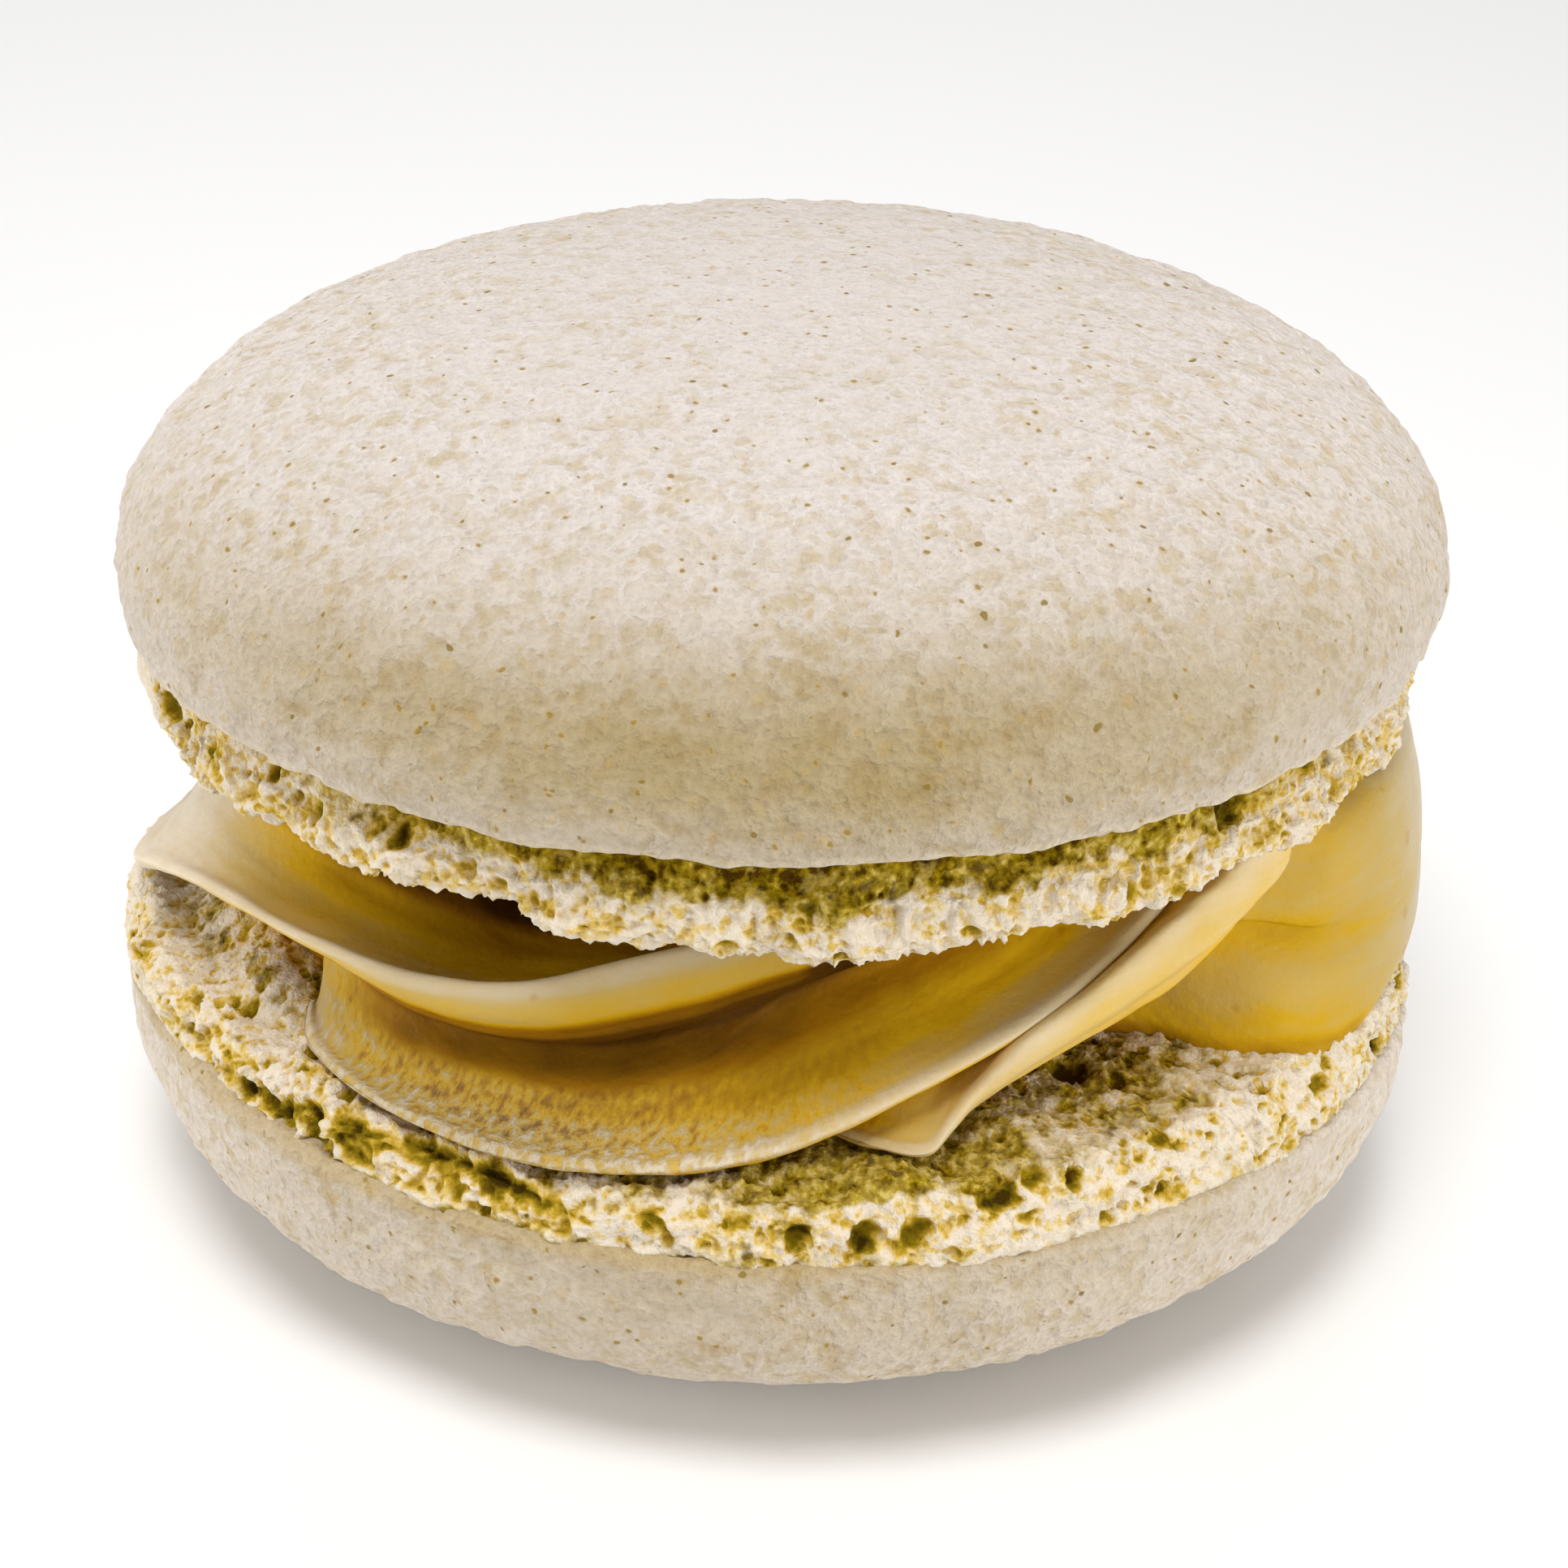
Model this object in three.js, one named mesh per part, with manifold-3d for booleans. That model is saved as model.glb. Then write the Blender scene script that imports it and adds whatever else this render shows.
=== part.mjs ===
// A French macaron: two almond meringue shells, each a smooth domed crust over a craggy ring called the
// foot, with buttercream spread between them in overlapping curled ribbons. Millimetres, +Z up, the origin
// at the middle of the flat spot that the lower shell rests on, -Y towards the front.
import * as THREE from "three";
import Module from "manifold-3d";

// ---- Driving dimensions: millimetres, and degrees measured from the front towards +X ----

const GAP = 0.3; // air left between the cream and each shell
const RIM_GAP = 0.12; // and this much more over the foot's crags

// The rise of the lower crust's edge above the table, and of the upper crust's edge.
const LOWER_LIP = 8.4;
const UPPER_LIP = 21.8;
const UPPER_TILT = { right: 0.02, back: 0.009 }; // how much the upper shell climbs, per millimetre

// Each shell is measured from the plane of its crust's edge: the dome on one side, the foot on the other.
// A row of footSwells is an angle, how much taller the foot is there, and over how many degrees. footSetback
// is how far the foot stands back from the crust's edge at each level, and footReach is where it stands
// further out, written like a swell.
const UPPER_SHELL = {
  domeSide: 1,
  widest: 22.5, // radius of the widest line
  widestRise: 1.06, // of the widest line over the crust's edge
  domeRise: 8.6, // from the widest line to the top
  domePower: 2.27, // 2 is an ellipse, more is squarer
  flatRise: 9.66, // the dome is cut flat here
  lipTuck: 0.2, // how far the crust turns in below the widest line
  edgeSlope: 0, // the crust's edge climbs towards the dome by this, per millimetre to the right
  faceHeight: 2.75, // of the inner face, away from its rim
  footHeight: 2.75,
  footSwells: [[4, 1.15, 20], [30, 0.45, 25], [70, 0.9, 22], [-72, 2.0, 15], [180, 0.6, 60]],
  footSetback: [0.95, 1.0, 0.65, 0.35, 0.75],
  footReach: [-82, 0.75, 16],
  seed: 11,
};
const LOWER_SHELL = {
  domeSide: -1,
  widest: 23.2,
  widestRise: 0.4,
  domeRise: 8.1,
  domePower: 3.3,
  flatRise: LOWER_LIP,
  lipTuck: 0.14,
  edgeSlope: 0.022,
  faceHeight: 2.4,
  footHeight: 2.1,
  footSwells: [[-22, -0.35, 22], [76, -0.5, 16], [180, 0.3, 60]],
  footSetback: [0.15, 0.3, 0.25, 0.35, 0.8],
  footReach: [-82, 0.35, 30],
  seed: 29,
};
const FOOT_LEVELS = [0.06, 0.3, 0.56, 0.8, 1]; // where footSetback is given, as a share of the height
const TALL_SETBACK = 0.35; // how far a taller foot's edge draws in, per millimetre
const LIP_WAVE = 0.1; // unevenness of the crust's outline
const CRAG = 0.42; // depth of the foot's crags
const CRAG_SIZE = 1.7; // and their width
const RAGGED = 0.3; // unevenness of the foot's edge
const RAGGED_SIZE = 2.2;
const FACE_CRAG = 0.16; // pores of the shells' inner faces
const SEGMENTS = 120; // round each shell's foot, halved on the dome and face

// The cream's ribbons. Each starts low on the lower shell, climbs and curls in under the upper shell.
// A row is one station: angle, lip radius, lip height, height of the face under the lip, radius and height
// of the ribbon's root.
const FRONT_LEFT_RIBBON = [
  [-128, 20.0, 11.7, 0.3, 17.5, 14.0],
  [-100, 22.0, 11.8, 0.5, 19.5, 16.5],
  [-79, 22.8, 12.1, 0.6, 20.0, 17.0],
  [-68, 22.4, 13.5, 0.45, 19.6, 17.0],
  [-57, 21.8, 14.6, 0.4, 19.0, 16.8],
  [-43, 21.2, 14.8, 0.45, 16.6, 15.2],
  [-32, 20.7, 14.8, 1.6, 14.4, 13.4],
  [-22, 20.2, 15.35, 2.4, 13.0, 13.2],
  [-10, 19.4, 16.75, 3.0, 13.0, 14.3],
  [3, 18.3, 17.7, 2.8, 14.0, 16.8],
  [16, 17.2, 18.1, 2.4, 14.0, 18.0],
];
const FRONT_RIBBON = [
  [-49, 20.6, 11.1, 0.3, 19.5, 13.6],
  [-40, 21.5, 11.1, 0.3, 19.0, 13.3],
  [-30, 22.3, 11.0, 0.35, 18.2, 13.2],
  [-18, 22.6, 11.0, 0.4, 17.4, 13.2],
  [-7, 22.0, 11.1, 0.45, 16.8, 13.9],
  [1, 21.0, 11.3, 0.45, 16.0, 14.5],
  [6, 20.8, 12.0, 0.45, 15.8, 15.0],
  [12, 20.65, 13.0, 0.45, 15.6, 15.7],
  [21, 20.0, 14.0, 0.45, 15.5, 16.5],
  [37, 19.0, 15.2, 0.45, 15.0, 17.5],
  [47, 18.3, 16.1, 0.5, 15.0, 18.0],
  [58, 17.6, 17.4, 0.5, 15.0, 18.2],
];
const UNDER_RIBBON = [
  [2, 20.2, 11.2, 0.25, 18.5, 11.6],
  [8, 20.8, 11.2, 0.25, 18.5, 11.6],
  [14, 21.1, 11.4, 0.4, 18.5, 11.8],
  [18, 20.3, 12.4, 1.0, 17.5, 12.6],
  [23, 20.15, 13.6, 1.5, 17.0, 14.0],
  [30, 19.9, 14.3, 1.7, 16.5, 15.0],
  [38, 19.6, 15.2, 2.2, 16.0, 16.0],
  [46, 19.6, 16.8, 3.0, 16.0, 17.4],
  [54, 19.9, 18.6, 3.5, 16.0, 18.4],
  [61, 19.4, 19.0, 2.8, 16.0, 18.6],
];
// A ribbon of the hidden side: the same rows for a start at 0 degrees.
const BACK_RIBBON = [
  [0, 20.0, 11.3, 0.3, 17.5, 13.0],
  [16, 21.4, 11.3, 0.4, 18.0, 13.2],
  [34, 22.2, 11.6, 0.5, 17.8, 13.8],
  [52, 21.5, 13.0, 0.9, 17.0, 15.0],
  [70, 20.5, 14.9, 1.6, 16.0, 16.2],
  [86, 19.4, 16.7, 2.1, 15.0, 17.4],
  [100, 18.0, 18.0, 1.8, 15.0, 18.2],
];
const BACK_STARTS = [100, 148, 196];

// The double fold at the right. A row is angle, then the radius at the foot of the fold, at its lower bulge,
// at the crease, of the upper bulge and at the top, and the height of the crease.
const RIGHT_FOLD = [
  [38, 16.4, 16.5, 16.6, 17.0, 17.0, 15.4],
  [44, 18.0, 17.6, 17.6, 18.3, 18.3, 15.2],
  [48, 20.3, 19.2, 18.7, 19.5, 19.3, 15.0],
  [52, 22.0, 20.8, 19.7, 20.6, 20.2, 14.7],
  [58, 22.4, 21.9, 21.1, 21.6, 20.9, 14.0],
  [66, 22.6, 22.7, 22.5, 22.2, 21.4, 13.6],
  [78, 22.6, 23.0, 22.85, 22.4, 21.5, 13.8],
  [92, 22.2, 22.8, 22.6, 22.1, 21.3, 14.0],
  [108, 20.6, 21.6, 21.4, 21.2, 20.6, 14.2],
  [124, 17.5, 19.0, 19.5, 19.5, 19.2, 14.4],
];
const FOLD = { bulgeZ: 12.4, upperZ: 16.4, topZ: 18.1, crease: 0.4, creaseEnd: 68 };

const HUB = 9; // ribbons reach in to this radius, inside the core
const CORE = { radius: 13.6, hollow: 1.8, hollowAngle: -25, hollowSpread: 30 };
const RIBBON_STEP = 3.6; // degrees between stations
const RIBBON = { sag: 0.85, lean: 0.2, edge: 0.22, underside: 2.6, thin: 0.3 };

// ---- Numbers and noise ----

const TURN = 2 * Math.PI;
const radians = THREE.MathUtils.degToRad;
const mix = THREE.MathUtils.lerp;
const smooth = THREE.MathUtils.smoothstep;

// A fixed pseudo-random value in 0..1 for each cell of a cubic grid.
function cellValue(x, y, z, seed) {
  let hash = Math.imul(x, 73856093) ^ Math.imul(y, 19349663);
  hash ^= Math.imul(z, 83492791) ^ Math.imul(seed, 2654435761);
  hash ^= hash >>> 13;
  hash = Math.imul(hash, 1274126177);
  hash ^= hash >>> 16;
  return (hash >>> 0) / 4294967296;
}

// Smooth noise in -1..1 that changes over about `size` millimetres.
function noise(x, y, z, size, seed) {
  const cell = [x / size, y / size, z / size].map(Math.floor);
  const [u, v, w] = [x / size, y / size, z / size].map((value, axis) => smooth(value - cell[axis], 0, 1));
  const corner = (i, j, k) => cellValue(cell[0] + i, cell[1] + j, cell[2] + k, seed);
  const edge = (j, k) => mix(corner(0, j, k), corner(1, j, k), u);
  const side = (k) => mix(edge(0, k), edge(1, k), v);
  return 2 * mix(side(0), side(1), w) - 1;
}

// Reads a table of rows at an angle: a smooth curve through the rows, level past its ends.
function tableAt(rows, angle) {
  const last = rows.length - 2;
  let i = 0;
  while (i < last && angle > rows[i + 1][0]) i += 1;
  const span = rows[i + 1][0] - rows[i][0];
  const t = THREE.MathUtils.clamp((angle - rows[i][0]) / span, 0, 1);
  const slope = (row, column) => {
    const before = rows[Math.max(row - 1, 0)];
    const after = rows[Math.min(row + 1, rows.length - 1)];
    return ((after[column] - before[column]) / (after[0] - before[0])) * span;
  };
  return rows[i].map((start, column) => {
    const end = rows[i + 1][column];
    const rise = slope(i, column) * t * (1 - t) ** 2 - slope(i + 1, column) * t ** 2 * (1 - t);
    return mix(start, end, t * t * (3 - 2 * t)) + rise;
  });
}

// 1 at an angle of 0, falling off within about `spread`, whichever turn the angle is in.
function bump(angle, spread) {
  const away = THREE.MathUtils.euclideanModulo(angle + Math.PI, TURN) - Math.PI;
  return Math.exp(-((away / spread) ** 2));
}

// What a row of a middle angle, a size and a spread, in degrees, adds at an angle.
function swellAt([middle, size, spread], angle) {
  return size * bump(angle - radians(middle), radians(spread));
}

// A point at an angle (radians from the front), a radius and a height.
function around(angle, radius, z) {
  return [radius * Math.sin(angle), -radius * Math.cos(angle), z];
}

// ---- Shells ----

// Height of the foot's edge over the crust's edge.
function footHeight(shell, angle) {
  const [x, y] = around(angle, shell.widest, 0);
  const ragged = RAGGED * noise(x, y, 0, RAGGED_SIZE, shell.seed + 1);
  return shell.footSwells.reduce((height, row) => height + swellAt(row, angle), shell.footHeight + ragged);
}

// Height of a shell's inner face over its crust's edge, towards the filling.
function faceHeight(shell, angle, radius) {
  const [x, y] = around(angle, radius, 0);
  const rim = smooth(radius, 17, shell.widest - 1.4);
  const pores = noise(x, y, 0, CRAG_SIZE, shell.seed + 3) * FACE_CRAG * smooth(radius, 16, 20);
  return mix(shell.faceHeight, footHeight(shell, angle), rim) + pores;
}

// How far the crust's edge lies towards the dome from its own plane.
function edgeLift(shell, angle) {
  return shell.edgeSlope * shell.widest * Math.sin(angle);
}

// Radius of the crust's edge, slightly uneven.
function lipRadius(shell, angle) {
  const [x, y] = around(angle, 22, 0);
  return shell.widest - shell.lipTuck + LIP_WAVE * noise(x, y, 0, 9, shell.seed);
}

// One ring of a shell: `count` corners from a function of the angle that gives a radius and a height.
function ring(count, place) {
  const points = [];
  for (let i = 0; i < count; i += 1) {
    const angle = (TURN * i) / count;
    points.push(around(angle, ...place(angle)));
  }
  return points;
}

// The rings of a shell from the middle of the dome to the middle of the inner face.
function shellRings(shell) {
  const { widest, widestRise, domeRise, domePower, flatRise, lipTuck } = shell;
  const waved = (angle) => lipRadius(shell, angle) + lipTuck - widest;
  const lifted = (angle, rise) => rise + edgeLift(shell, angle) * (1 - rise / flatRise) ** 2;
  const dome = (share) => (angle) => {
    const turn = (share * Math.PI) / 2;
    const radius = widest * Math.cos(turn) ** (2 / domePower);
    const rise = widestRise + domeRise * Math.sin(turn) ** (2 / domePower);
    return [radius + waved(angle), Math.min(lifted(angle, Math.min(rise, flatRise)), flatRise)];
  };
  const foot = (level) => (angle) => {
    const share = FOOT_LEVELS[level];
    const [x, y] = around(angle, widest, 0);
    const height = footHeight(shell, angle);
    const z = edgeLift(shell, angle) * (1 - share) - share * height;
    const crags = noise(x, y, z, CRAG_SIZE, shell.seed + 2) + 0.4 * noise(x, y, z, 0.9, shell.seed + 5);
    const depth = CRAG * crags * (level === 0 ? 0.4 : 1);
    const drawnIn = TALL_SETBACK * share ** 2 * Math.max(height - shell.footHeight, 0);
    const setback = shell.footSetback[level] + drawnIn - swellAt(shell.footReach, angle);
    return [lipRadius(shell, angle) - setback + depth, z];
  };
  const face = (radius) => (angle) => [radius, -faceHeight(shell, angle, radius)];
  return [
    ring(SEGMENTS / 8, dome(0.9)),
    ring(SEGMENTS / 4, dome(0.76)),
    ring(SEGMENTS / 4, dome(0.65)),
    ring(SEGMENTS / 2, dome(0.54)),
    ring(SEGMENTS / 2, dome(0.43)),
    ring(SEGMENTS / 2, dome(0.32)),
    ring(SEGMENTS / 2, dome(0.21)),
    ring(SEGMENTS / 2, dome(0.1)),
    ring(SEGMENTS, dome(0)),
    ring(SEGMENTS, (angle) => [lipRadius(shell, angle) + lipTuck / 2, lifted(angle, 0.3 * widestRise)]),
    ring(SEGMENTS, (angle) => [lipRadius(shell, angle) - 0.1, lifted(angle, 0) - 0.05]),
    ...FOOT_LEVELS.map((_, level) => ring(SEGMENTS, foot(level))),
    ring(SEGMENTS, face(widest - 1.9)),
    ring(SEGMENTS, face(widest - 3.3)),
    ring(SEGMENTS / 2, face(widest - 5.2)),
    ring(SEGMENTS / 4, face(13)),
    ring(SEGMENTS / 8, face(7)),
  ];
}

// Triangles between two neighbouring rings, which have as many corners as each other or twice as many.
function stitch(triangles, upper, lower) {
  const wide = Math.max(upper.count, lower.count);
  const [upperStep, lowerStep] = [wide / upper.count, wide / lower.count];
  const at = (hoop, i, step) => hoop.first + (Math.floor(i / step) % hoop.count);
  for (let i = 0; i < wide; i += 1) {
    const corners = [at(upper, i, upperStep), at(upper, i + upperStep, upperStep)];
    corners.push(at(lower, i + lowerStep, lowerStep), at(lower, i, lowerStep));
    const [a, b, c, d] = corners;
    if (upperStep === 1 && lowerStep === 1) triangles.push(a, d, c, a, c, b);
    else if (upperStep === 1) stitchHalf(triangles, [a, b], [d, c], i);
    else stitchHalf(triangles, [d, c], [a, b], i, true);
  }
}

// One step of a stitch to a ring with half the corners: `fine` is an edge, `coarse` the edge beside it.
function stitchHalf(triangles, fine, coarse, i, flipped = false) {
  const fan = i % 2 === 0 ? [[fine[0], coarse[0], fine[1]]] : [
    [fine[0], coarse[0], coarse[1]],
    [fine[0], coarse[1], fine[1]],
  ];
  for (const [a, b, c] of fan) triangles.push(...(flipped ? [a, c, b] : [a, b, c]));
}

// A closed shell, with the dome up or down.
function shellGeometry(shell) {
  const rings = shellRings(shell);
  const points = [[0, 0, shell.flatRise]];
  const hoops = rings.map((corners) => {
    const hoop = { first: points.length, count: corners.length };
    points.push(...corners);
    return hoop;
  });
  points.push([0, 0, -faceHeight(shell, 0, 0)]);
  const triangles = [];
  const [first, last] = [hoops[0], hoops[hoops.length - 1]];
  for (let i = 0; i < first.count; i += 1) {
    triangles.push(0, first.first + i, first.first + ((i + 1) % first.count));
    triangles.push(points.length - 1, last.first + ((i + 1) % last.count), last.first + i);
  }
  for (let i = 1; i < hoops.length; i += 1) stitch(triangles, hoops[i - 1], hoops[i]);
  if (shell.domeSide < 0) triangles.reverse();
  return geometry(points.map(([x, y, z]) => [x, y, z * shell.domeSide]), triangles);
}

function geometry(points, triangles) {
  const made = new THREE.BufferGeometry();
  made.setAttribute("position", new THREE.Float32BufferAttribute(points.flat(), 3));
  made.setIndex(triangles);
  made.computeVertexNormals();
  return made;
}

// ---- Cream ----

// The lowest and highest the cream may reach at a place, clear of both shells.
function floorAt(angle, radius) {
  return LOWER_LIP + faceHeight(LOWER_SHELL, angle, radius) + GAP + RIM_GAP * smooth(radius, 19.5, 21.5);
}
function ceilingAt(angle, radius) {
  const [x, y] = around(angle, radius, 0);
  const tilt = UPPER_TILT.right * x + UPPER_TILT.back * y;
  const gap = GAP + RIM_GAP * smooth(radius, 18.5, 20.5);
  return UPPER_LIP + tilt - faceHeight(UPPER_SHELL, angle, radius) - gap;
}

// A ribbon's section at one station, counterclockwise with the radius to the right.
function ribbonSection([angle, lipR, lipZ, face, rootR, rootZ]) {
  const turn = radians(angle);
  const bottom = floorAt(turn, lipR);
  const top = Math.max(lipZ, bottom + face);
  const inner = lipR - RIBBON.lean * face;
  const foot = Math.min(inner - RIBBON.underside, rootR) - 0.3;
  const section = [
    [HUB, bottom - 1],
    [mix(HUB, foot, 0.8), bottom - 1],
    [foot, bottom - 1],
    [inner - RIBBON.underside, mix(bottom, top - face, 0.75)],
    [inner - 0.25, top - face - 0.1],
    [inner, top - face + 0.15 * face],
    [lipR + 0.04 * face, top - face / 2],
    [lipR, top - 0.6 * RIBBON.edge],
    [lipR - RIBBON.edge, top],
  ];
  for (const share of [0.2, 0.5, 0.8, 1]) {
    const sag = RIBBON.sag * 4 * share * (1 - share);
    const radius = mix(lipR - RIBBON.edge, rootR, share);
    section.push([radius, Math.max(mix(top, rootZ, share) - sag, floorAt(turn, radius) + RIBBON.thin)]);
  }
  section.push([HUB, rootZ]);
  return section;
}

// The double fold's section at one station.
function foldSection([angle, footR, bulgeR, creaseR, upperR, topR, creaseZ]) {
  const bottom = floorAt(radians(angle), footR);
  const overhang = FOLD.crease * (1 - smooth(angle, 52, FOLD.creaseEnd));
  return [
    [HUB, bottom - 1],
    [mix(HUB, footR, 0.62), bottom - 1],
    [mix(HUB, footR, 0.84), bottom - 1],
    [footR - 0.3, bottom - 1],
    [footR, bottom + 0.1],
    [mix(footR, bulgeR, 0.7) + 0.1, bottom + 0.8],
    [bulgeR, FOLD.bulgeZ],
    [creaseR, creaseZ - 0.15],
    [creaseR + overhang, creaseZ + 0.1],
    [mix(creaseR + overhang, upperR, 0.6) + 0.1, mix(creaseZ, FOLD.upperZ, 0.55)],
    [upperR, FOLD.upperZ],
    [topR, FOLD.topZ],
    [HUB, FOLD.topZ],
  ];
}

// Lifts or lowers a section's corners into the space between the shells.
function between(section, angle) {
  const turn = radians(angle);
  const low = (radius) => floorAt(turn, radius);
  const high = (radius) => ceilingAt(turn, radius);
  return section.map(([radius, z]) => [radius, Math.min(Math.max(z, low(radius)), high(radius))]);
}

// Sweeps a section round the cream from the first row of its table to the last.
function sweep(rows, sectionOf) {
  const [start, end] = [rows[0][0], rows[rows.length - 1][0]];
  const steps = Math.round((end - start) / RIBBON_STEP);
  const stations = [];
  for (let i = 0; i <= steps; i += 1) {
    const angle = mix(start, end, i / steps);
    stations.push({ angle, section: between(sectionOf(tableAt(rows, angle)), angle) });
  }
  const corners = stations[0].section.length;
  const points = stations.flatMap(({ angle, section }) =>
    section.map(([radius, z]) => around(radians(angle), radius, z)),
  );
  const triangles = [];
  for (let i = 0; i < steps; i += 1) {
    for (let j = 0; j < corners; j += 1) {
      const [a, b] = [i * corners + j, i * corners + ((j + 1) % corners)];
      triangles.push(a, a + corners, b + corners, a, b + corners, b);
    }
  }
  const cap = (section, first, flipped) => {
    const outline = section.map(([radius, z]) => new THREE.Vector2(radius, z));
    for (const [a, b, c] of THREE.ShapeUtils.triangulateShape(outline, [])) {
      triangles.push(first + a, first + (flipped ? c : b), first + (flipped ? b : c));
    }
  };
  cap(stations[0].section, 0, false);
  cap(stations[steps].section, steps * corners, true);
  return geometry(points, triangles);
}

// The cream's core, hollow where the front left ribbon stands away from it.
function coreGeometry() {
  const { radius, hollow, hollowAngle, hollowSpread } = CORE;
  const count = SEGMENTS / 4;
  const side = (angle) => {
    return radius - swellAt([hollowAngle, hollow, hollowSpread], angle);
  };
  const rows = [
    ...ring(count, (angle) => [side(angle), ceilingAt(angle, side(angle))]),
    ...ring(count, (angle) => [side(angle), floorAt(angle, side(angle))]),
    [0, 0, ceilingAt(0, 0)],
    [0, 0, floorAt(0, 0)],
  ];
  const triangles = [];
  for (let i = 0; i < count; i += 1) {
    const next = (i + 1) % count;
    triangles.push(i, i + count, next + count, i, next + count, next);
    triangles.push(2 * count, i, next, 2 * count + 1, next + count, i + count);
  }
  return geometry(rows, triangles);
}

// ---- Joining with manifold-3d ----

const wasm = await Module();
wasm.setup();

function solidOf(made) {
  const mesh = new wasm.Mesh({
    numProp: 3,
    vertProperties: new Float32Array(made.attributes.position.array),
    triVerts: new Uint32Array(made.index.array),
  });
  return new wasm.Manifold(mesh);
}

function geometryOf(solid) {
  const { vertProperties, triVerts } = solid.getMesh();
  const made = new THREE.BufferGeometry();
  made.setAttribute("position", new THREE.BufferAttribute(vertProperties, 3));
  made.setIndex(new THREE.BufferAttribute(triVerts, 1));
  made.computeVertexNormals();
  return made;
}

function fillingGeometry() {
  const ribbons = [FRONT_LEFT_RIBBON, FRONT_RIBBON, UNDER_RIBBON];
  for (const start of BACK_STARTS) {
    ribbons.push(BACK_RIBBON.map(([angle, ...rest]) => [angle + start, ...rest]));
  }
  let solid = solidOf(coreGeometry());
  for (const rows of ribbons) solid = solid.add(solidOf(sweep(rows, ribbonSection)));
  solid = solid.add(solidOf(sweep(RIGHT_FOLD, foldSection)));
  return geometryOf(solid);
}

// ---- The macaron ----

function piece(name, made, colour, roughness) {
  const material = new THREE.MeshStandardMaterial({ color: colour, roughness, metalness: 0 });
  const mesh = new THREE.Mesh(made, material);
  mesh.name = name;
  return mesh;
}

const SHELL_COLOUR = 0xe0d2bf;
const CREAM_COLOUR = 0xd2ad62;

const macaron = new THREE.Group();

const bottomShell = piece("bottom_shell", shellGeometry(LOWER_SHELL), SHELL_COLOUR, 0.85);
bottomShell.position.z = LOWER_LIP;

const filling = piece("filling", fillingGeometry(), CREAM_COLOUR, 0.5);

const upperGroup = new THREE.Group();
upperGroup.position.z = UPPER_LIP;
upperGroup.rotation.set(Math.atan(UPPER_TILT.back), -Math.atan(UPPER_TILT.right), 0);
upperGroup.add(piece("top_shell", shellGeometry(UPPER_SHELL), SHELL_COLOUR, 0.85));

macaron.add(bottomShell, filling, upperGroup);

export default macaron;
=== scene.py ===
import math

import bpy
import numpy as np
from mathutils import Matrix, Vector


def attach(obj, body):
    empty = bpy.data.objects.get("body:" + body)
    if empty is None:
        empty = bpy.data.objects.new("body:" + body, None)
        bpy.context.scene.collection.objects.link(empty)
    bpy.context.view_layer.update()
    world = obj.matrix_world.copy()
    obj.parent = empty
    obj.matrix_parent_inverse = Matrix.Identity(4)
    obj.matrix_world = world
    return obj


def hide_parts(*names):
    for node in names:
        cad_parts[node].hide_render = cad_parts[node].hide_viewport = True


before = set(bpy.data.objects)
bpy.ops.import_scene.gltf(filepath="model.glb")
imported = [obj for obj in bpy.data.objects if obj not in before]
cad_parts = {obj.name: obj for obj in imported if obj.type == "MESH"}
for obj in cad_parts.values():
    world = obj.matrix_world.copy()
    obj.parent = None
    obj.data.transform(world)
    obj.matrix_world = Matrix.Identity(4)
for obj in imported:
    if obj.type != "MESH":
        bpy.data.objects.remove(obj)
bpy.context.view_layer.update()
print("frame loaded:", sorted(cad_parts))

millimetre = 0.001
fullTurn = 2 * math.pi


def smooth(value, low, high):
    # 0 below low, 1 above high, and the cubic 3t^2 - 2t^3 between them
    t = np.clip((value - low) / (high - low), 0, 1)
    return t * t * (3 - 2 * t)


def mix(a, b, t):
    return a + (b - a) * t


def levelAt(stops, value):
    # straight lines between (position, level) stops
    return np.interp(value, *np.array(stops).T)


def cellValue(cells, seed):
    # a fixed value in 0..1 for each whole-numbered cell: its three numbers are multiplied by large
    # primes, joined bit by bit, and stirred twice
    x, y, z = (cells[..., i].astype(np.int64).astype(np.uint32) for i in range(3))
    stirred = x * np.uint32(73856093) ^ y * np.uint32(19349663) ^ z * np.uint32(83492791)
    stirred ^= np.uint32(seed * 2654435761 % 2**32)
    stirred ^= stirred >> np.uint32(13)
    stirred *= np.uint32(1274126177)
    stirred ^= stirred >> np.uint32(16)
    return stirred / 2.0**32


def noise(points, size, seed):
    # value noise in -1..1: the values of the eight cell corners round a point, blended by the cubic
    scaled = points / size
    home = np.floor(scaled)
    t = smooth(scaled - home, 0, 1)
    total = 0
    for corner in np.ndindex(2, 2, 2):
        side = np.array(corner)
        weight = np.prod(np.where(side, t, 1 - t), axis=-1)
        total = total + weight * cellValue(home + side, seed)
    return 2 * total - 1


def wavesAt(points, waves, seed):
    # the sum of noises, each with its own size and height
    return sum(height * noise(points, size, seed) for size, height in waves)


def within(amount, value, limits):
    # the amount where the value is between the middle two limits, and less to nothing at the outer two
    start, full, fall, end = limits
    return amount * smooth(value, start, full) * (1 - smooth(value, fall, end))


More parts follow.
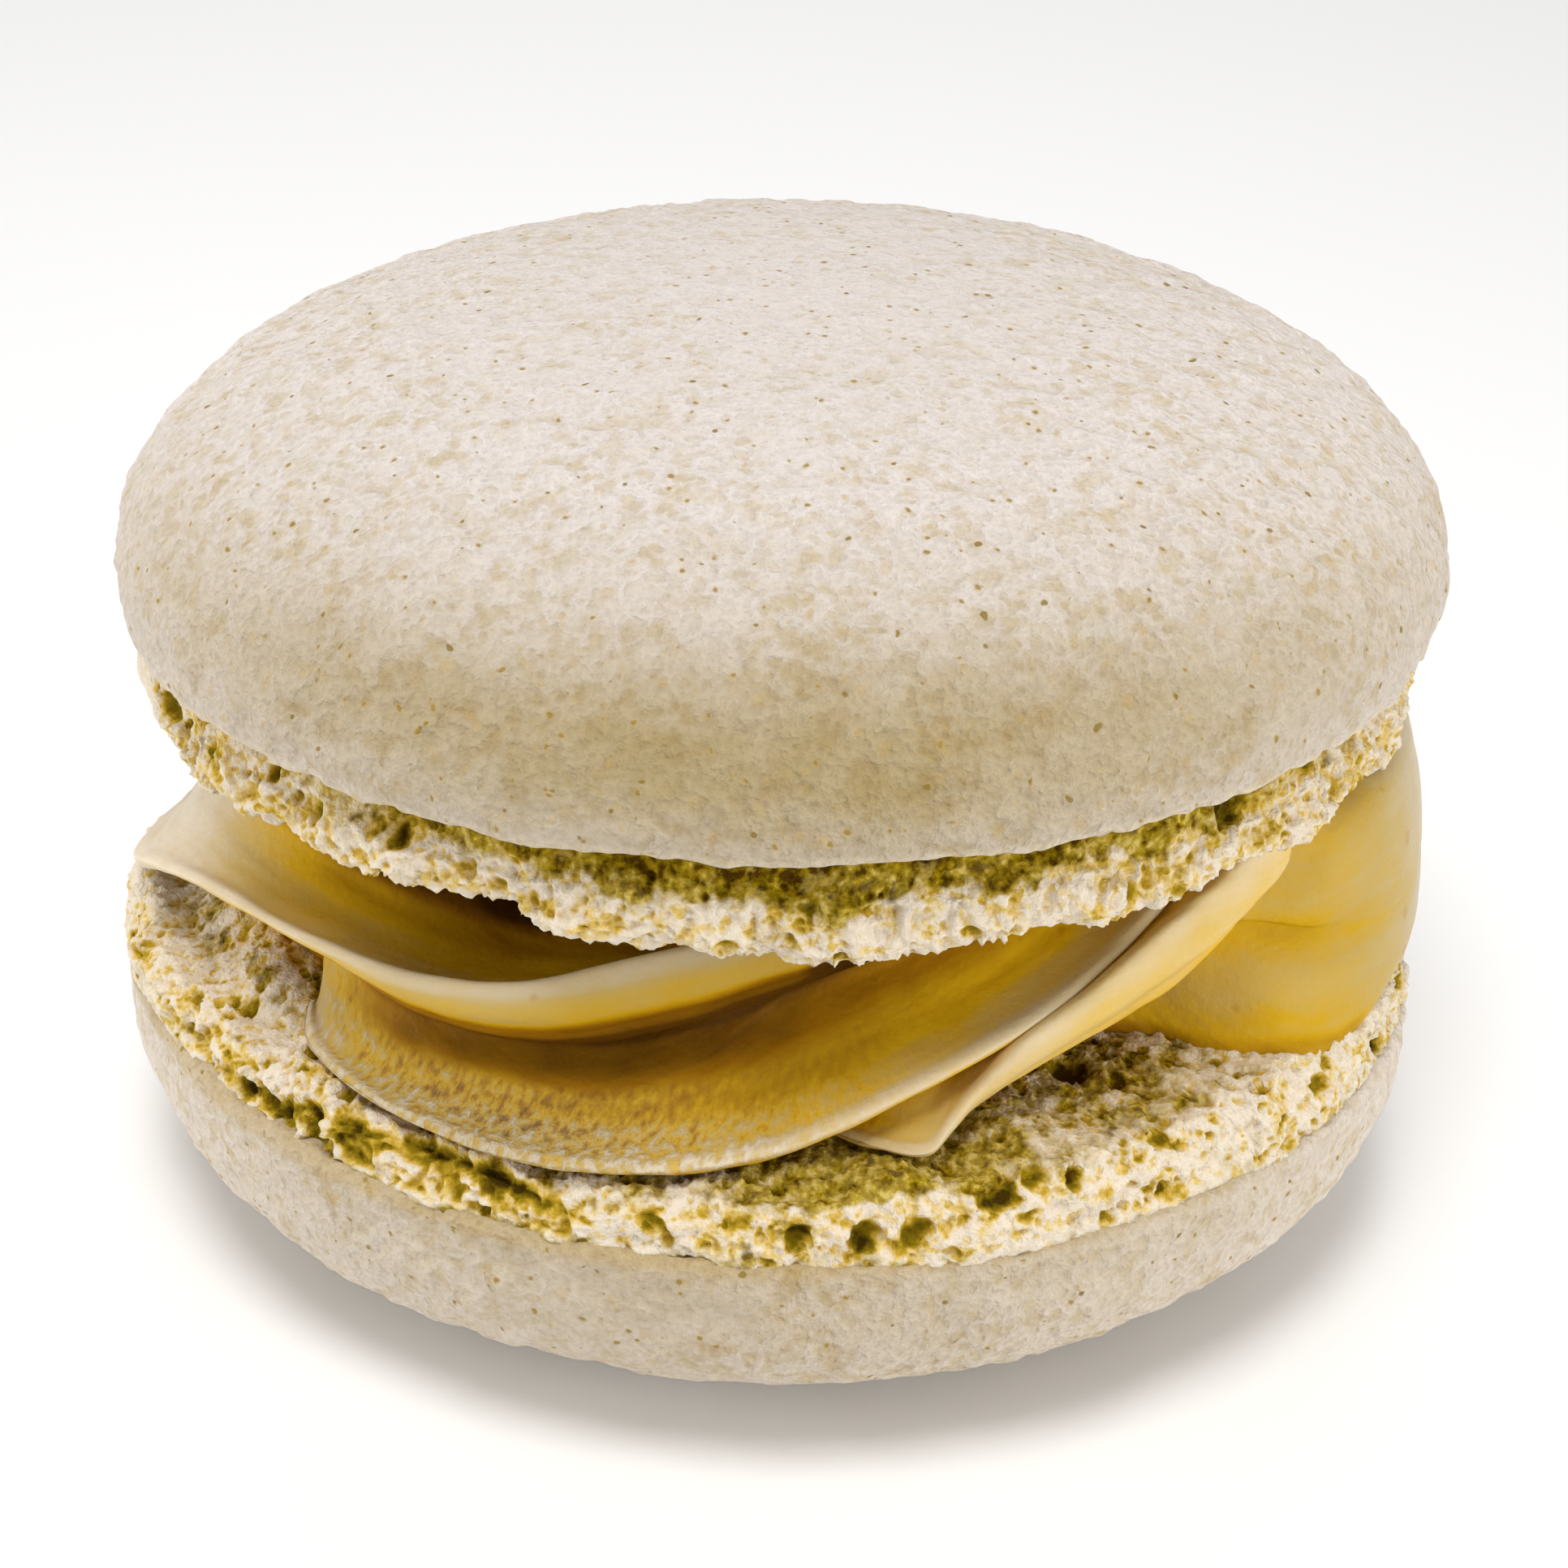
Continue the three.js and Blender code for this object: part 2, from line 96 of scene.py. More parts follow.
def bubbles(points, cell, seed, smallest, largest, share):
    # depth inside a field of round bubbles, one to a cubic cell at most: the square root of radius
    # squared less distance squared, for the nearest bubbles. The largest radius is half a cell.
    home = np.floor(points / cell - 0.5)
    depth = np.zeros(points.shape[:-1])
    for corner in np.ndindex(2, 2, 2):
        cells = home + np.array(corner)
        centre = np.stack([cellValue(cells, seed + i) for i in range(3)], axis=-1)
        radius = mix(smallest, largest, cellValue(cells, seed + 3) ** 2)
        radius = np.where(cellValue(cells, seed + 4) < share, radius, 0)
        away = ((points - (cells + centre) * cell) ** 2).sum(axis=-1)
        depth = np.maximum(depth, np.sqrt(np.maximum(radius**2 - away, 0)))
    return depth


def crumbLumps(points, cell, seed):
    # how far a point is from the border between lumps: second nearest distance less nearest, to
    # one random point in each cubic cell
    home = np.floor(points / cell)
    nearest = np.full(points.shape[:-1], 9.0)
    second = nearest.copy()
    for corner in np.ndindex(3, 3, 3):
        cells = home + np.array(corner) - 1
        centre = np.stack([cellValue(cells, seed + i) for i in range(3)], axis=-1)
        away = np.sqrt(((points / cell - cells - centre) ** 2).sum(axis=-1))
        second = np.minimum(second, np.maximum(nearest, away))
        nearest = np.minimum(nearest, away)
    return (second - nearest) * cell


def around(angle, radius, z):
    # the point at an angle in radians from the front, a radius and a height
    return np.stack(np.broadcast_arrays(radius * np.sin(angle), -radius * np.cos(angle), z), axis=-1)


def swell(row, angle):
    # a row is a middle angle, a size and a spread: the size times e to the minus square of the
    # angle's distance from the middle, in spreads
    middle, size, spread = row
    away = (angle - math.radians(middle) + math.pi) % fullTurn - math.pi
    return size * np.exp(-((away / math.radians(spread)) ** 2))


def tableAt(rows, angles):
    # rows of a table read at many angles (degrees): cubic curves through the rows, with slopes from
    # each row's neighbours, level past the ends
    rows = np.array(rows)
    numbers = np.arange(len(rows))
    before = np.maximum(numbers - 1, 0)
    after = np.minimum(numbers + 1, len(rows) - 1)
    slopes = (rows[after] - rows[before]) / (rows[after, :1] - rows[before, :1])
    i = np.clip(np.searchsorted(rows[:, 0], angles, side="right") - 1, 0, len(rows) - 2)
    span = (rows[i + 1, 0] - rows[i, 0])[:, None]
    t = np.clip((angles[:, None] - rows[i, :1]) / span, 0, 1)
    rise = span * (slopes[i] * t * (1 - t) ** 2 - slopes[i + 1] * t**2 * (1 - t))
    return mix(rows[i], rows[i + 1], t * t * (3 - 2 * t)) + rise


def gridFaces(rows, columns, wrapColumns=True, first=0):
    # quads between neighbouring rows of a grid whose points are numbered row by row
    ids = first + np.arange(rows * columns).reshape(rows, columns)
    beside = np.roll(ids, -1, axis=1) if wrapColumns else ids[:, 1:]
    ids = ids if wrapColumns else ids[:, :-1]
    quads = np.stack([ids[:-1], ids[1:], beside[1:], beside[:-1]], axis=-1)
    return quads.reshape(-1, 4)


def fanFaces(ring, centre):
    # triangles from a closed ring of point numbers to one centre point
    return np.stack([ring, np.roll(ring, -1), np.full(len(ring), centre)], axis=-1)


def closedGrid(grid, middles, values):
    # a grid closed round its columns, with a fan from its first and its last row to a middle point; each
    # attribute's values are its numbers on the grid and its number at both middles
    rows, columns = grid.shape[:2]
    size = rows * columns
    points = np.concatenate([grid.reshape(-1, 3), middles])
    ids = np.arange(size).reshape(rows, columns)
    fans = [fanFaces(ids[0], size), fanFaces(ids[-1, ::-1], size + 1)]
    attributes = {}
    for key, (numbers, atMiddles) in values.items():
        numbers = np.broadcast_to(numbers, (rows, columns))
        attributes[key] = np.append(numbers.ravel(), [atMiddles, atMiddles])
    return points, [gridFaces(rows, columns), np.concatenate(fans)], attributes


def normalsOf(grid, wrapColumns=True):
    # unit normals of a grid of points: down the rows crossed with along the columns
    if wrapColumns:
        across = np.roll(grid, -1, axis=1) - np.roll(grid, 1, axis=1)
    else:
        across = np.gradient(grid, axis=1)
    normals = np.cross(np.gradient(grid, axis=0), across)
    return normals / np.maximum(np.linalg.norm(normals, axis=-1, keepdims=True), 1e-9)


def signedVolume(points, faces):
    # the sum, over each face's triangles, of the volume between the triangle and the origin
    total = 0.0
    for block in faces:
        for i in range(1, block.shape[1] - 1):
            a, b, c = points[block[:, 0]], points[block[:, i]], points[block[:, i + 1]]
            total += (a * np.cross(b, c)).sum() / 6
    return total


def addObject(name, data):
    thing = bpy.data.objects.new(name, data)
    bpy.context.scene.collection.objects.link(thing)
    return thing


def makePiece(name, points, faces, material, attributes):
    # one closed mesh from points in millimetres and arrays of faces, turned outwards if its volume comes
    # out negative; each attribute has one number a point
    mesh = bpy.data.meshes.new(name)
    if signedVolume(points, faces) < 0:
        faces = [block[:, ::-1] for block in faces]
    corners = np.concatenate([block.ravel() for block in faces]).astype(np.int32)
    sizes = np.concatenate([np.full(len(block), block.shape[1]) for block in faces])
    starts = np.concatenate([[0], np.cumsum(sizes)[:-1]]).astype(np.int32)
    mesh.vertices.add(len(points))
    mesh.vertices.foreach_set("co", (points * millimetre).astype(np.float32).ravel())
    mesh.loops.add(len(corners))
    mesh.loops.foreach_set("vertex_index", corners)
    mesh.polygons.add(len(sizes))
    mesh.polygons.foreach_set("loop_start", starts)
    mesh.polygons.foreach_set("use_smooth", np.ones(len(sizes), dtype=bool))
    mesh.update(calc_edges=True)
    for key, values in attributes.items():
        layer = mesh.attributes.new(key, "FLOAT", "POINT")
        layer.data.foreach_set("value", values.astype(np.float32))
    mesh.materials.append(material)
    piece = addObject(name, mesh)
    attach(piece, "root")
    print("made", name, "with", int((sizes - 2).sum()), "triangles")
    return piece


def feed(socket, value):
    # links a node's output to an input socket, or sets the socket to a number or colour
    if isinstance(value, bpy.types.NodeSocket):
        socket.id_data.links.new(value, socket)
    else:
        socket.default_value = (*value, 1) if socket.type == "RGBA" else value


def fed(node, *values):
    # feeds a node's inputs in their order and gives its first output
    for socket, value in zip(node.inputs, values):
        feed(socket, value)
    return node.outputs[0]


def treeOf(*values):
    # the node tree that these numbers and node outputs belong to
    return next(value.id_data for value in values if isinstance(value, bpy.types.NodeSocket))


def addNode(tree, kind, **settings):
    # a node with its inputs and its own settings given by name
    node = tree.nodes.new(kind)
    for key, value in settings.items():
        if key in node.inputs:
            feed(node.inputs[key], value)
        else:
            setattr(node, key, value)
    return node


def newMaterial(name, surface):
    # a material, its node tree and its shader; `surface` holds its values for the inputs below, in order
    inputs = ["Roughness", "Specular IOR Level"]
    inputs += ["Subsurface Weight", "Subsurface Radius", "Subsurface Scale"]
    material = bpy.data.materials.new(name)
    material.use_nodes = True
    shader = material.node_tree.nodes["Principled BSDF"]
    for key, value in zip(inputs, surface):
        feed(shader.inputs[key], value)
    return material, material.node_tree, shader


def finishMaterial(shader, colour, relief, distance):
    # the shader's colour, and its relief from a height in 0..1 that stands for `distance` millimetres
    feed(shader.inputs["Base Color"], colour)
    bump = addNode(shader.id_data, "ShaderNodeBump", Height=relief, Distance=distance * millimetre)
    feed(shader.inputs["Normal"], bump.outputs["Normal"])


def attributeNode(tree, name):
    return addNode(tree, "ShaderNodeAttribute", attribute_name=name).outputs["Fac"]


def placeNode(tree):
    return addNode(tree, "ShaderNodeTexCoord").outputs["Object"]


def calculate(operation, a, b, clamp=False):
    # a sum of two numbers or node outputs, kept in 0..1 if clamp is set
    return fed(addNode(treeOf(a, b), "ShaderNodeMath", operation=operation, use_clamp=clamp), a, b)


def times(a, b):
    return calculate("MULTIPLY", a, b)


def plus(a, b):
    return calculate("ADD", a, b)


def minus(a, b):
    return calculate("SUBTRACT", a, b)


def grey(value):
    return (value, value, value)


def rampNode(factor, stops):
    # a colour ramp through (position, colour) stops
    node = addNode(factor.id_data, "ShaderNodeValToRGB", Fac=factor)
    elements = node.color_ramp.elements
    while len(elements) < len(stops):
        elements.new(1)
    for element, (position, colour) in zip(elements, stops):
        element.position = position
        element.color = (*colour, 1)
    return node.outputs["Color"]


def levelNode(factor, stops):
    # straight lines between (position, level) stops
    return rampNode(factor, [(position, grey(level)) for position, level in stops])


def mixColour(factor, a, b, blend="MIX"):
    # colour a with the factor's share of colour b mixed into it, or blended with it
    node = addNode(treeOf(factor, a, b), "ShaderNodeMix", data_type="RGBA", blend_type=blend)
    for number, value in ((0, factor), (6, a), (7, b)):
        feed(node.inputs[number], value)
    return node.outputs[2]


def noiseNode(place, size, detail):
    # a noise whose blotches are `size` millimetres wide, with finer ones in them by its detail
    scale = 1 / (size * millimetre)
    node = addNode(place.id_data, "ShaderNodeTexNoise", Vector=place, Scale=scale, Detail=detail)
    return node.outputs["Fac"]


def bentBy(place, size, reach):
    # a place pushed about by up to `reach` millimetres, so that what is drawn with it is out of round
    tree = place.id_data
    wander = addNode(tree, "ShaderNodeTexNoise", Vector=place, Scale=1 / (size * millimetre))
    away = addNode(tree, "ShaderNodeVectorMath", operation="SUBTRACT")
    away = fed(away, wander.outputs["Color"], grey(0.5))
    pushed = addNode(tree, "ShaderNodeVectorMath", operation="MULTIPLY_ADD")
    return fed(pushed, away, grey(2 * reach * millimetre), place)


def speckNode(place, spacing, radius, share):
    # 1 inside small round specks, one to a cell `spacing` millimetres wide, in `share` of the cells; a
    # speck's radius is 0.35 to 1.35 of the given one, and its edge is soft
    cells = addNode(place.id_data, "ShaderNodeTexVoronoi", Vector=place, Scale=1 / (spacing * millimetre))
    split = addNode(place.id_data, "ShaderNodeSeparateColor", Color=cells.outputs["Color"])
    chosen = calculate("LESS_THAN", split.outputs["Red"], share)
    width = times(plus(split.outputs["Green"], 0.35), radius / spacing)
    edge = minus(width, cells.outputs["Distance"])
    soft = calculate("MULTIPLY", edge, 2.5 * spacing / radius, clamp=True)
    return times(soft, chosen)


upperShell = {
    "node": "top_shell",
    "domeSide": 1,  # the dome is above
    "lipHeight": 21.8,  # of the crust's edge over the table
    "climbRight": 0.02,  # how much the shell leans
    "climbBack": 0.009,
    "widest": 22.5,  # radius of the widest line
    "widestRise": 1.06,  # of that line over the crust's edge
    "domeRise": 8.6,  # from the widest line to the top
    "domePower": 2.27,  # 2 is an ellipse, more is squarer
    "flatRise": 9.66,  # the dome is cut flat here
    "lipTuck": 0.2,  # how far the crust turns in below the widest line
    "edgeSlope": 0.0,  # how much the crust's edge climbs towards the dome, per millimetre to the right
    "faceHeight": 2.75,  # of the inner face, away from its rim
    "footHeight": 2.75,
    "footSwells": [  # middle angle, how much taller the foot is there, spread
        (11, -0.5, 11), (4, 1.15, 20), (30, 0.45, 25),
        (70, 0.9, 22), (-72, 2.0, 15), (180, 0.6, 60),
    ],
    "footSetback": [0.95, 1.0, 0.65, 0.35, 0.75],  # from the crust's edge, at each of footLevels
    "footReach": [(-82, 0.95, 16)],  # where the foot stands further out
    "reachFades": 1.2,  # how much of that reach is gone at its rim
    "mound": (0, 0.0, 10),
    "seed": 11,
}
lowerShell = {
    "node": "bottom_shell",
    "domeSide": -1,
    "lipHeight": 8.4,
    "climbRight": 0.0,
    "climbBack": 0.0,
    "widest": 23.2,
    "widestRise": 0.4,
    "domeRise": 8.1,
    "domePower": 3.3,
    "flatRise": 8.4,
    "lipTuck": 0.14,
    "edgeSlope": 0.022,
    "faceHeight": 2.4,
    "footHeight": 2.1,
    "footSwells": [(-22, -0.35, 22), (76, -0.5, 16), (-108, -0.6, 16), (180, 0.3, 60)],
    "footSetback": [0.15, 0.3, 0.25, 0.35, 0.8],
    "footReach": [(-76, 0.45, 18), (-110, -1.3, 18)],
    "reachFades": 0,
    "mound": (-62, 1.4, 11),  # where the crumb is pushed up against the cream: middle angle, height, spread
    "seed": 29,
}
footLevels = [0.06, 0.3, 0.56, 0.8, 1.0]  # from the crust's edge (0) to the foot's rim (1)
crag = {
    "depth": 0.42,
    "size": 1.7,
    "fineShare": 0.4,
    "fineSize": 0.9,
    "growth": [(0, 0.3), (0.06, 0.4), (0.3, 1)],  # share of the depth by level
    "face": 0.16,  # depth of the inner face's pores
    "drawnIn": 0.35,  # how far a taller foot's edge draws in, per millimetre
}
ragged = {"height": 0.3, "size": 2.2}  # unevenness of the foot's edge
lipWave = {"height": 0.1, "size": 9, "radius": 22.0}  # and of the crust's outline
facePlan = {  # radii on the inner face
    "rise": 17,  # from here it climbs to the foot's rim
    "riseEnd": 1.4,  # up to this far inside the widest line
    "pores": (16, 20),  # pores deepen between these
    "mound": (16, 18, 19.3, 21.3),  # the mound grows between the first two and ends between the last
}


def placed(shell, points):
    # from the shell's own frame, its crust's edge at z = 0 and the dome up, to its place
    lean = Matrix.Rotation(math.atan(shell["climbBack"]), 3, "X") @ Matrix.Rotation(
        -math.atan(shell["climbRight"]), 3, "Y"
    )
    turned = (points * (1, 1, shell["domeSide"])) @ np.array(lean).T
    return turned + (0, 0, shell["lipHeight"])


def footHeight(shell, angle):
    # the foot's height: its middle value, the swells and a ragged noise
    rim = around(angle, shell["widest"], 0.0)
    height = shell["footHeight"] + ragged["height"] * noise(rim, ragged["size"], shell["seed"] + 1)
    for row in shell["footSwells"]:
        height = height + swell(row, angle)
    return height


def faceHeight(shell, angle, radius):
    # the inner face: level in the middle, and at the rim as high as the foot's edge
    rim = smooth(radius, facePlan["rise"], shell["widest"] - facePlan["riseEnd"])
    pores = noise(around(angle, radius, 0.0), crag["size"], shell["seed"] + 3)
    mound = within(swell(shell["mound"], angle), radius, facePlan["mound"])
    level = mix(shell["faceHeight"], footHeight(shell, angle), rim)
    return level + mound + pores * crag["face"] * smooth(radius, *facePlan["pores"])


def lipRadius(shell, angle):
    # the radius of the crust's edge, with a slow unevenness
    wave = noise(around(angle, lipWave["radius"], 0.0), lipWave["size"], shell["seed"])
    return shell["widest"] - shell["lipTuck"] + lipWave["height"] * wave


def edgeLift(shell, angle):
    # how far the crust's edge has climbed at an angle
    return shell["edgeSlope"] * shell["widest"] * np.sin(angle)


crustLook = {
    "grid": 306,  # points along each side of the square that is wrapped over the dome
    "profile": (400, 20, 12),  # points on the dome, on a straight stretch and round the edge's roll
    "nose": 0.13,  # radius of that roll
    "overhang": 3.0,  # how far the crust's underside reaches in
    "underRise": 0.12,  # how steeply it rises
    "inside": 0.8,  # height of the point that closes it
    "waves": [(3.4, 0.06), (1.5, 0.04)],  # size and height of its low relief
    "lumpWaves": [(1.0, 0.09), (0.45, 0.08)],  # and of its lumps
    "lumpShare": 0.25,  # what is left of the lumps at the top
    "lumpStart": (0.2, 0.55),  # they grow between these, from the top (0) to the end of the underside (1)
    "edgeWaves": [(1.6, 0.07), (0.6, 0.06)],
    "edgeStart": (0.78, 0.86),
    "rimEnd": (0.1, 0.5),  # heights over the edge where the rim's own colour fades
    "frontSpread": 1.15,  # radians to each side that get the painted shade of the front
}


def crustProfile(shell, look):
    # radius and rise along the crust: a superellipse from the top to the widest line, a tuck to the
    # edge, a quarter circle round it, and the underside
    nose = look["nose"]
    tucked = shell["widest"] - shell["lipTuck"]
    domePoints, straightPoints, rollPoints = look["profile"]
    turn = np.linspace(math.pi / 2, 0, domePoints)
    share = np.linspace(0, 1, straightPoints)[1:]
    roll = np.linspace(0, math.pi / 2, rollPoints)[1:]
    power = 2 / shell["domePower"]
    radius = [
        shell["widest"] * np.cos(turn) ** power,
        shell["widest"] - shell["lipTuck"] * share**2,
        tucked - nose * (1 - np.cos(roll)),
        tucked - nose - share * look["overhang"],
    ]
    rise = [
        shell["widestRise"] + shell["domeRise"] * np.sin(turn) ** power,
        mix(shell["widestRise"], nose, share),
        nose * (1 - np.sin(roll)),
        look["underRise"] * share * look["overhang"],
    ]
    return np.concatenate(radius), np.minimum(np.concatenate(rise), shell["flatRise"])


def crustPiece(name, shell, look, material):
    # a square grid wrapped over a disk, square ring to round ring, and the disk's radius carried along
    # the profile by length, then moved along its normals by waves and lumps
    n = look["grid"]
    u, v = np.meshgrid(np.linspace(-1, 1, n), np.linspace(-1, 1, n))
    wide = np.abs(u) > np.abs(v)
    major = np.where(wide, u, v)
    minor = np.where(wide, v, u)
    quarter = math.pi / 4 * minor / np.where(major == 0, 1, major)
    angle = np.where(wide, quarter, math.pi / 2 - quarter) + np.where(major < 0, math.pi, 0)
    reach = np.abs(major)
    radii, rises = crustProfile(shell, look)
    length = np.concatenate([[0], np.cumsum(np.hypot(np.diff(radii), np.diff(rises)))])
    radius = np.interp(reach * length[-1], length, radii)
    radius = radius + lipRadius(shell, angle) + shell["lipTuck"] - shell["widest"]
    rise = np.interp(reach * length[-1], length, rises)
    rise = rise + edgeLift(shell, angle) * (1 - rise / shell["flatRise"]) ** 2
    grid = around(angle, np.maximum(radius, 0), np.minimum(rise, shell["flatRise"]))

    relief = wavesAt(grid, look["waves"], shell["seed"] + 40)
    rough = wavesAt(grid, look["edgeWaves"], shell["seed"] + 50)
    relief = relief + rough * smooth(reach, *look["edgeStart"])
    lumpy = wavesAt(grid, look["lumpWaves"], shell["seed"] + 45)
    relief = relief + lumpy * mix(look["lumpShare"], 1, smooth(reach, *look["lumpStart"]))
    if shell["domeSide"] < 0:  # the spot that it stands on stays flat
        relief = relief * np.clip(shell["flatRise"] - grid[..., 2], 0, 1)
    normals = normalsOf(grid, wrapColumns=False)
    grid = grid + normals * np.sign(normals[n // 2, n // 2, 2]) * relief[..., None]

    points = np.concatenate([grid.reshape(-1, 3), [[0, 0, look["inside"]]]])
    ids = np.arange(n * n).reshape(n, n)
    ring = np.concatenate([ids[0, :-1], ids[:-1, -1], ids[-1, :0:-1], ids[:0:-1, 0]])
    faces = [gridFaces(n, n, wrapColumns=False), fanFaces(ring, n * n)]
    # how much of the front this is, which carries the painted shade there
    fromFront = (angle + math.pi / 2) % fullTurn - math.pi / 2
    front = np.exp(-((fromFront / look["frontSpread"]) ** 2))
    attributes = {
        "front": np.append(front.ravel(), 0),
        "reach": np.append(reach.ravel(), 1),
        "rim": np.append(1 - smooth(rise, *look["rimEnd"]).ravel(), 1),
    }
    piece = makePiece(name, placed(shell, points), faces, material, attributes)
    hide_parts(shell["node"])


upperFootLook = {
    "sideRows": 56,
    "faceRows": 30,
    "faceInner": 7.0,  # radius where the rows on the inner face end
    "facePower": 1.6,  # more than 1 sets them closer near the rim
    "teeth": [(1.1, 0.07), (0.5, 0.11), (0.27, 0.08)],  # size and height of its fine ridges
    "teethStart": (0.3, 0.6),  # levels between which they grow
    "grains": [(0.22, 0.07), (0.12, 0.05)],  # size and height of what is finer still
    "lumps": (1.2, 0.12),  # size of its lumps, and depth of the cracks between them
    "lumpSpots": [(-60, 0.8, 40), (45, 0.9, 40), (180, 0.8, 60)],
    "crevice": {  # a groove along the crust's edge
        "path": [(0, 0.1)],  # its level by angle
        "width": 0.2,
        "depth": 0.35,
        "broken": (-0.6, 0.0),  # it is whole where a noise is over these, and gone where it is under
        "olive": 0,  # how much painted olive shade it lays on the crumb
        "spot": (5, 1.0, 50),  # where it is
    },
    # cell, smallest and largest radius, share of the cells, how deep
    "pits": [(2.0, 0.3, 0.8, 0.3, 0.8), (1.0, 0.15, 0.42, 0.4, 0.9), (0.5, 0.1, 0.22, 0.55, 0.9)],
    "holes": [  # angle, radius, height and size of single holes
        (-69, 21.8, -1.6, 0.5), (-66, 21.7, -2.0, 0.65), (-62.5, 21.6, -2.4, 0.65),
        (-59, 21.6, -2.5, 0.5), (-55, 21.7, -1.7, 0.45), (-46, 21.7, -0.8, 0.6),
        (-40, 21.6, -1.5, 0.45), (-35, 21.7, -0.6, 0.55), (-31, 21.6, -1.2, 0.45),
        (-25, 21.6, -1.7, 0.4),
    ],
    "smoothSpot": (-80, 1.0, 9),  # where there are no pits or ridges
    "warp": (0.5, 0.2),  # size and reach of what bends the pits out of round
    # where painted shade makes the crumb olive: middle angle, amount and spread, and the levels it starts
    # and stops at
    "shadeBands": [(7, 1.3, 35, -0.4, 0.42)],
}
lowerFootLook = {
    "sideRows": 27,
    "faceRows": 64,
    "faceInner": 8.0,
    "facePower": 1.25,
    "teeth": [(1.1, 0.06), (0.5, 0.09), (0.27, 0.07)],
    "teethStart": (-0.1, 0.2),
    "grains": [(0.22, 0.05), (0.11, 0.05)],
    "lumps": (1.5, 0.3),
    "lumpSpots": [(-36, 1.0, 18), (12, 0.25, 30), (180, 0.5, 60)],
    "crevice": {
        "path": [(-52, 0.2), (-42, 0.35), (-36, 0.62), (-28, 0.85), (-22, 0.8), (-15, 0.6), (-8, 0.5)],
        "width": 0.14,
        "depth": 0.35,
        "broken": (-0.2, 0.4),
        "olive": 0.4,
        "spot": (-34, 1.0, 20),
    },
    "pits": [(2.3, 0.3, 0.75, 0.35, 0.9), (1.1, 0.2, 0.45, 0.65, 0.9), (0.55, 0.12, 0.26, 0.8, 0.9)],
    "holes": [
        (-47.5, 22.7, -0.5, 0.5), (-42, 22.7, -0.7, 0.65), (-38, 22.6, -1.2, 0.75),
        (-34.5, 22.6, -1.4, 0.7), (-29, 22.6, -2.0, 0.6), (-24.5, 22.7, -1.8, 0.65),
        (-21, 22.7, -1.6, 0.75), (-18.4, 22.8, -1.35, 0.6), (-15.4, 22.9, -0.3, 0.4),
        (-7, 22.8, -0.7, 0.45), (-2, 22.8, -1.4, 0.4), (3, 22.8, -1.0, 0.4),
        (8, 22.8, -0.8, 0.6), (11.7, 22.8, -0.8, 0.55), (18.5, 22.8, -1.8, 0.65),
        (25.3, 22.8, -1.95, 0.55), (32.5, 18.0, -2.3, 0.75), (35.5, 19.4, -2.4, 0.45),
        (46, 22.9, -0.6, 0.35), (52, 22.9, -1.3, 0.5), (64, 22.9, -0.6, 0.5),
    ],
    "smoothSpot": (180, 0, 10),
    "warp": (0.5, 0.24),
    # where painted shade makes the crumb olive
    "shadeBands": [
        (9, 0.82, 17, 0.93, 1.5), (34, 0.5, 14, 1.14, 1.5), (62, 0.5, 16, 1.2, 1.6),
        (-14, 0.6, 14, 1.05, 1.5), (-55, 0.55, 7, 1.25, 1.6), (-20, 0.5, 30, -0.2, 0.05),
        (-73, 0.45, 13, 1.25, 1.9),
    ],
}
footShape = {
    "frontAngle": 88,  # columns are closer together this far to each side of the front
    "columns": (800, 260),  # at the front and at the back
    "start": -0.12,  # the level of the first row, behind the crust's edge
    "roundings": 3,  # how often the corner between side and face is evened out
    # limits as levels of the foot: 0 at the crust's edge, 1 at its rim, 2 at the end of its inner face
    "fade": (0.5, 1),  # the reach fades
    "cracks": (0.05, 0.2, 0.8, 1.05),  # cracks grow and end
    "hollows": (-0.06, 0.06, 1.75, 1.95),  # all hollows do
    "teethEnd": (0.95, 1.2),
    "inner": (1.04, 1.5),  # its colour turns into the inner face's
    "crackWidth": (0.05, 0.45),  # how far from a border between lumps a crack's floor and top are
    "wander": [(2.2, 0.12), (0.7, 0.1)],  # size and height of the waves in a crevice's path
    "holeDepth": 0.8,  # of a single hole, as a share of its radius
    "teethOnFace": 0.65,  # what is left of the ridges on the inner face
    "teethHeight": 0.4,  # from the lowest to the highest
    "inside": 0.8,  # height of the point that closes the foot inside the crust
    "seed": 60,
}


